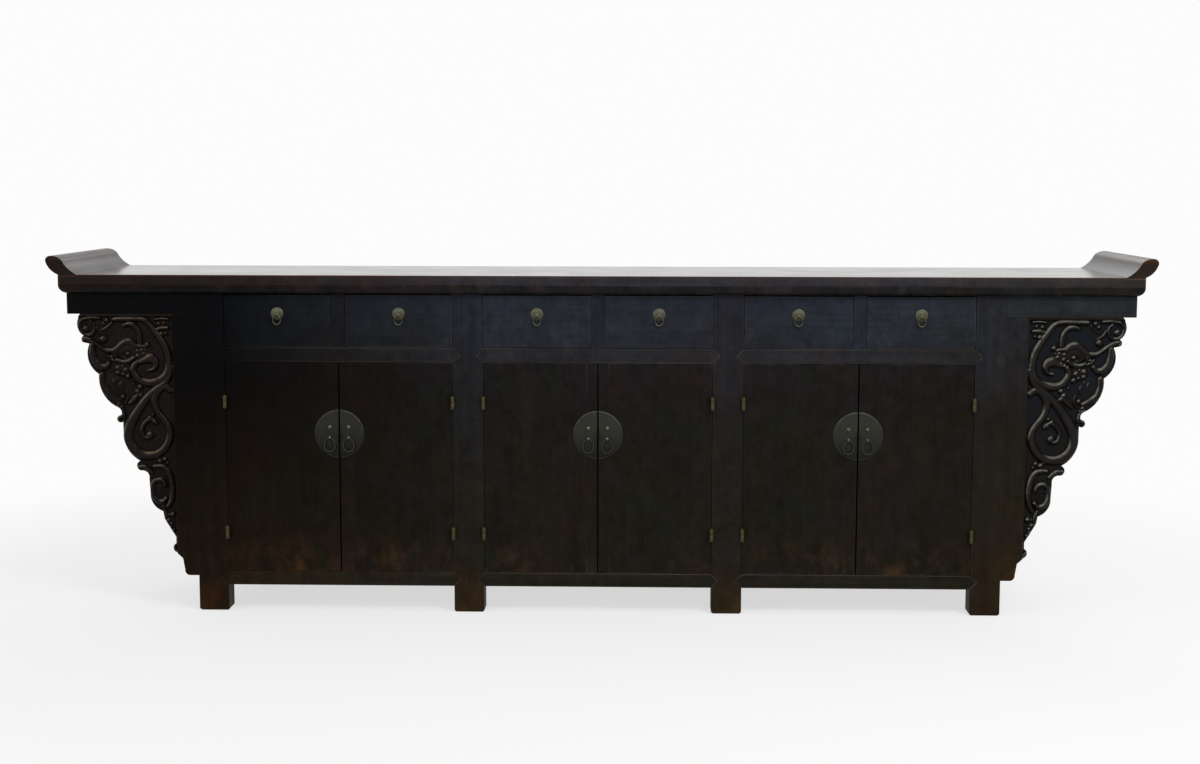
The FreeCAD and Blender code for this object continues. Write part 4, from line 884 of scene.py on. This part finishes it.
def arc_points(places):
    """Points along a straight side, or along the arc through three places."""
    points = [np.array(place, float) for place in places]
    if len(points) == 2:
        return [points[0]]
    a, b, c = points
    system = 2 * np.array([b - a, c - a])
    centre = np.linalg.solve(system, np.array([b @ b - a @ a, c @ c - a @ a]))
    start, via, end = (math.atan2(*(point - centre)[::-1]) for point in (a, b, c))
    turn = (end - start) % math.tau
    if (via - start) % math.tau > turn:
        turn -= math.tau
    radius = np.linalg.norm(a - centre)
    angles = [start + turn * step / ARC_STEPS for step in range(ARC_STEPS)]
    return [centre + radius * np.array([math.cos(angle), math.sin(angle)]) for angle in angles]


def smooth_line(places):
    """Points of a smooth line through every place."""
    points = np.array([places[0], *places, places[-1]], float)
    line = []
    for before, start, end, after in zip(points, points[1:], points[2:], points[3:]):
        squared = 2 * before - 5 * start + 4 * end - after
        cubed = 3 * start - before - 3 * end + after
        for step in range(LINE_STEPS):
            t = step / LINE_STEPS
            line.append(0.5 * (2 * start + (end - before) * t + squared * t ** 2 + cubed * t ** 3))
    line.append(points[-1])
    return np.array(line)


def nearest_on(points, line):
    """For each point its distance from a line and how far along the line the nearest place is, 0 to 1."""
    starts = line[:-1]
    steps = line[1:] - starts
    lengths = np.linalg.norm(steps, axis=1)
    along = np.concatenate([[0], np.cumsum(lengths)])
    offsets = points[:, None, :] - starts[None, :, :]
    share = np.clip((offsets * steps).sum(2) / np.maximum(lengths ** 2, 1e-9), 0, 1)
    distance = np.linalg.norm(offsets - share[:, :, None] * steps, axis=2)
    nearest = distance.argmin(1)
    rows = np.arange(len(points))
    reached = along[nearest] + share[rows, nearest] * lengths[nearest]
    return distance[rows, nearest], reached / along[-1]


def dome(distance, radius):
    return np.sqrt(np.clip(1 - (distance / radius) ** 2, 0, 1))


def relief_at(points, outline):
    """Height of the carving as a share of the relief, and how strong the painted shade in the narrow gap
    round its stems is.
    """
    out, down = points.T
    from_foot = np.full(len(points), np.inf)
    height = 0.1 + 0.03 * np.sin(out / 3.1) * np.sin(down / 3.7)
    for at_out, at_down, half_out, half_down, share in SWELLINGS:
        distance = np.hypot((out - at_out) / half_out, (down - at_down) / half_down)
        height = np.maximum(height, share * dome(distance, 1))
    for at_out, at_down, radius, share in HOLLOWS:
        height -= share * dome(np.hypot(out - at_out, down - at_down), radius)
    for places, widths, share in STEMS:
        line = smooth_line(places)
        widths = STEM_FULLNESS * np.array(widths)
        reach = max(widths)
        near = np.all((points > line.min(0) - reach) & (points < line.max(0) + reach), axis=1)
        distance, along = nearest_on(points[near], line)
        half_width = np.interp(along, np.linspace(0, 1, len(widths)), widths) / 2
        height[near] = np.maximum(height[near], share * dome(distance, half_width))
        from_foot[near] = np.minimum(from_foot[near], np.abs(distance - half_width))
    for at_out, at_down, radius, share in BEADS:
        radius = BEAD_FULLNESS * radius
        distance = np.hypot(out - at_out, down - at_down)
        height = np.maximum(height, share * dome(distance, radius))
        from_foot = np.minimum(from_foot, np.abs(distance - radius))
    from_edge, _ = nearest_on(points, outline)
    height *= dome(1 - np.clip(from_edge / ROLL_OVER, 0, 1), 1)
    border = np.clip((BORDER_WIDTH + 1 - down) / 2, 0, 1) * 0.95
    strip = np.clip((0.5 - out) / 2, 0, 1)
    height = np.clip(np.maximum.reduce([height, border * (out > 0), strip]), 0, 1)
    # Painted shade round the foot of each stem and bead, on the low ground only.
    crevice_painted_shade = np.clip(1 - from_foot / CREVICE_WIDTH, 0, 1) * np.clip((0.6 - height) / 0.2, 0, 1)
    return height, crevice_painted_shade


def flat_carving(length):
    """The board laid flat: its places, its faces, and the relief and the painted shade round the stems at
    each place.
    """
    outline = []
    start = OUTLINE_START
    for *via, end in OUTLINE_SIDES:
        outline += arc_points([start, *via, end])
        start = end
    outline += [(start[0], length), (-STRIP_WIDTH, length), (-STRIP_WIDTH, 0)]
    outline = np.array(outline, float)
    outline[:, 1] = np.clip(outline[:, 1], 0, length)
    closed = np.vstack([outline, outline[:1]])
    outs = np.arange(-4, CARVING_WIDTH, GRID_STEP)
    fine = [(out, down) for out in outs for down in np.arange(GRID_STEP, length, GRID_STEP)]
    coarse = [(out, down) for out in STRIP_COLUMNS for down in np.arange(10, length, STRIP_ROW_STEP)]
    inside = np.array(fine + coarse)
    inside = inside[within(inside, outline)]
    from_edge, _ = nearest_on(inside, closed)
    inside = inside[from_edge > GRID_STEP * 0.6]
    count = len(outline)
    edges = [(index, (index + 1) % count) for index in range(count)]
    places = [Vector(point) for point in np.vstack([outline, inside])]
    flat, _, faces, *_ = delaunay_2d_cdt(places, edges, [], 1, 1e-4)
    flat = np.array([tuple(point) for point in flat])
    return flat, faces, *relief_at(flat, closed)


def within(points, outline):
    """Which points lie inside an outline."""
    inside = np.zeros(len(points), bool)
    for start, end in zip(outline, np.roll(outline, -1, axis=0)):
        crosses = (start[1] > points[:, 1]) != (end[1] > points[:, 1])
        rise = end[1] - start[1]
        if abs(rise) < 1e-9:
            continue
        meets = start[0] + (points[:, 1] - start[1]) * (end[0] - start[0]) / rise
        inside ^= crosses & (points[:, 0] < meets)
    return inside


def carved_board(name, side, node, carving):
    """One spandrel: a plain strip beside the post and a relief of stems and beads round a dragon's head."""
    low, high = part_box(node)
    tongue = SPANDREL_TONGUE * MM
    inner = (high.x - tongue) if side < 0 else (low.x + tongue)
    flat, faces, relief, crevice_painted_shades = carving

    def at(point, y):
        return Vector((inner + side * (point[0] + STRIP_WIDTH) * MM, y, high.z - point[1] * MM))

    board = bmesh.new()
    board.verts.layers.float.new("relief")
    # This layer holds the painted shade round the foot of the stems.
    board.verts.layers.float.new("crevice_painted_shade")
    relief_layer = board.verts.layers.float["relief"]
    crevice_shade_layer = board.verts.layers.float["crevice_painted_shade"]
    front_verts = []
    for point, share, crevice_painted_shade in zip(flat, relief, crevice_painted_shades):
        vert = board.verts.new(at(point, low.y + (1 - share) * RELIEF_HEIGHT * MM))
        vert[relief_layer] = share
        vert[crevice_shade_layer] = crevice_painted_shade
        front_verts.append(vert)
    for corner_numbers in faces:
        face = board.faces.new([front_verts[number] for number in corner_numbers])
        plain = all(flat[number][0] < -1 for number in corner_numbers)
        face.smooth = not plain
        face.material_index = int(plain)
    rim = [edge for edge in board.edges if edge.is_boundary]
    drawn = bmesh.ops.extrude_edge_only(board, edges=rim)["geom"]
    for vert in [item for item in drawn if isinstance(item, bmesh.types.BMVert)]:
        vert.co.y = low.y + SPANDREL_THICKNESS * MM
        vert[relief_layer] = 0.3
    back_edges = [edge for edge in board.edges if edge.is_boundary]
    back = bmesh.ops.triangle_fill(board, edges=back_edges, use_beauty=True)["geom"]
    for face in [item for item in drawn + back if isinstance(item, bmesh.types.BMFace)]:
        face.smooth = False
        face.material_index = 1
    for edge in rim:
        edge.smooth = False
    new_piece(name, board, [carving_material, woods["posts"]], "root", node)


carving_material = carved_wood()
low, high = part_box("right_spandrel")
carving = flat_carving((high.z - low.z) / MM)
carved_board("left_carving", -1, "left_spandrel", carving)
carved_board("right_carving", 1, "right_spandrel", carving)

for count in DOORS:
    lock(count)
    door_hinges(count)
    ring_pull(f"door_{count}_ring", metals["ring"], RING_WIRE)
    drawer_pull(f"drawer_{count}")
    ring_pull(f"drawer_{count}_ring", metals["pull"], PULL_WIRE)
post_hinges()

# Wooden nodes: material and softened edges

FLAT_ANGLE = math.radians(0.6)
SHARP_ANGLE = math.radians(35)


def dress(node, material, edge):
    """Gives a node its material and rounds its sharp edges a little."""
    piece = nodes[node]
    for slot_place in piece.material_slots:
        slot_place.material = woods[material]
    if not piece.material_slots:
        piece.data.materials.append(woods[material])
    if edge:
        piece.modifiers.new("join", "WELD").merge_threshold = 0.01 * MM
        flat = piece.modifiers.new("flat", "DECIMATE")
        flat.decimate_type = "DISSOLVE"
        flat.angle_limit = FLAT_ANGLE
        soft = piece.modifiers.new("soft", "BEVEL")
        soft.width = edge
        soft.segments = 2
        soft.limit_method = "ANGLE"
        soft.angle_limit = SHARP_ANGLE
        soft.use_clamp_overlap = False
        even = piece.modifiers.new("even", "WEIGHTED_NORMAL")
        even.keep_sharp = False


for material, edge, dressed in [
    ("top", 1.5, ["top_board"]),
    ("flange", 1.5, ["left_flange", "right_flange"]),
    ("frieze", 1.2, ["end_friezes"]),
    ("posts", 1.2, ["front_legs", "back_legs"]),
    ("posts", 1, ["drawer_dividers"]),
    ("rails", 1, ["drawer_rails", "bottom_rails"]),
    ("back_x", 1, ["back_rails"]),
    ("ends", 1, ["cross_rails"]),
    ("doors", 0.5, [f"door_{count}_leaf" for count in DOORS]),
    ("drawers", 1, [f"drawer_{count}_front" for count in DOORS]),
    ("panels", 0, ["side_panels"]),
    ("back_x", 0, ["back_panels"]),
    ("inner_x", 0, ["floor_boards"]),
    ("inner_y", 0, ["drawer_runners"] + [f"drawer_{count}_box" for count in DOORS]),
]:
    for node in dressed:
        dress(node, material, edge * MM)

# Floor, world, lamps and camera

WHITE = 0.975
FLOOR_REACH = 30
FLOOR_LIT = 0.78
FLOOR_SHADED = 0.34
FLOOR_FADES = (1.7, 2.6)
FLOOR_GLOW = WHITE - 0.33
WORLD_LIGHT = 0.55
CAMERA_LENS = 53.83
CAMERA_PLACE = (0.1212, -4.907, 1.1595)
CAMERA_YAW_PITCH_ROLL = (-1.415, 6.564, 0.099)


def seen_plainly(tree):
    """1 for what the camera, a gloss or clear glass sees, 0 for light that falls on the object."""
    path = add_node(tree, "ShaderNodeLightPath").outputs
    camera_or_gloss = math_node("MAXIMUM", path["Is Camera Ray"], path["Is Glossy Ray"])
    return math_node("MAXIMUM", camera_or_gloss, path["Is Transmission Ray"])


def plain_node(tree, kind, level, **inputs):
    """A diffuse or glowing grey, ready to be mixed."""
    return add_node(tree, kind, {"Color": (level, level, level)} | inputs).outputs[0]


def make_floor():
    """A pale floor that fades into the white backdrop and keeps a light shadow."""
    mesh = bpy.data.meshes.new("floor")
    corners = [(-1, -1, 0), (1, -1, 0), (1, 1, 0), (-1, 1, 0)]
    mesh.from_pydata([Vector(corner) * FLOOR_REACH for corner in corners], [], [(0, 1, 2, 3)])
    floor = new_object("floor", mesh)
    material, tree = new_material("floor_pale")
    mesh.materials.append(material)
    plain = plain_node(tree, "ShaderNodeBsdfDiffuse", FLOOR_LIT)
    shaded = plain_node(tree, "ShaderNodeBsdfDiffuse", FLOOR_SHADED)
    glow = plain_node(tree, "ShaderNodeEmission", 1, Strength=FLOOR_GLOW)
    white = plain_node(tree, "ShaderNodeEmission", 1, Strength=WHITE)
    near = fed_node("ShaderNodeAddShader", {0: shaded, 1: glow}).outputs[0]
    far = ranged(vector_math("LENGTH", place_of(tree), result="Value"), *FLOOR_FADES)
    faded = fed_node("ShaderNodeMixShader", {0: far, 1: near, 2: white}).outputs[0]
    chosen = fed_node("ShaderNodeMixShader", {0: seen_plainly(tree), 1: plain, 2: faded}).outputs[0]
    fed_node("ShaderNodeOutputMaterial", {"Surface": chosen})


def make_world():
    world = bpy.data.worlds.new("studio")
    world.use_nodes = True
    tree = world.node_tree
    tree.nodes.clear()
    strength = ranged(seen_plainly(tree), 0, 1, WORLD_LIGHT, WHITE)
    backdrop = plain_node(tree, "ShaderNodeBackground", 1, Strength=strength)
    fed_node("ShaderNodeOutputWorld", {"Surface": backdrop})
    bpy.context.scene.world = world


def lamp(name, place, target, size, power):
    light = bpy.data.lights.new(name, "AREA")
    light.shape = "RECTANGLE"
    light.size, light.size_y = size
    light.energy = power
    holder = new_object(name, light)
    holder.location = place
    holder.rotation_euler = (Vector(target) - Vector(place)).to_track_quat("-Z", "Y").to_euler()


def make_camera():
    """The photograph's viewpoint, fitted to the table's own proportions."""
    data = bpy.data.cameras.new("camera")
    data.lens = CAMERA_LENS
    data.sensor_width = 36
    data.sensor_fit = "HORIZONTAL"
    camera = new_object("camera", data)
    yaw, pitch, roll = (math.radians(angle) for angle in CAMERA_YAW_PITCH_ROLL)
    tilt = Matrix.Rotation(math.pi / 2 - pitch, 4, "X") @ Matrix.Rotation(roll, 4, "Z")
    camera.matrix_world = Matrix.Translation(CAMERA_PLACE) @ Matrix.Rotation(-yaw, 4, "Z") @ tilt
    bpy.context.scene.camera = camera


make_floor()
make_world()
make_camera()
lamp("key", (1.9, -2.7, 3.1), (0.2, 0, 0.5), (1.2, 0.8), 60)
lamp("fill", (-2.6, -3.2, 1.7), (0, 0, 0.5), (1.8, 1.8), 18)
lamp("back", (0.4, 2.8, 2.6), (0, 0, 0.7), (2.6, 1.2), 30)

bpy.context.scene.view_settings.view_transform = "Standard"
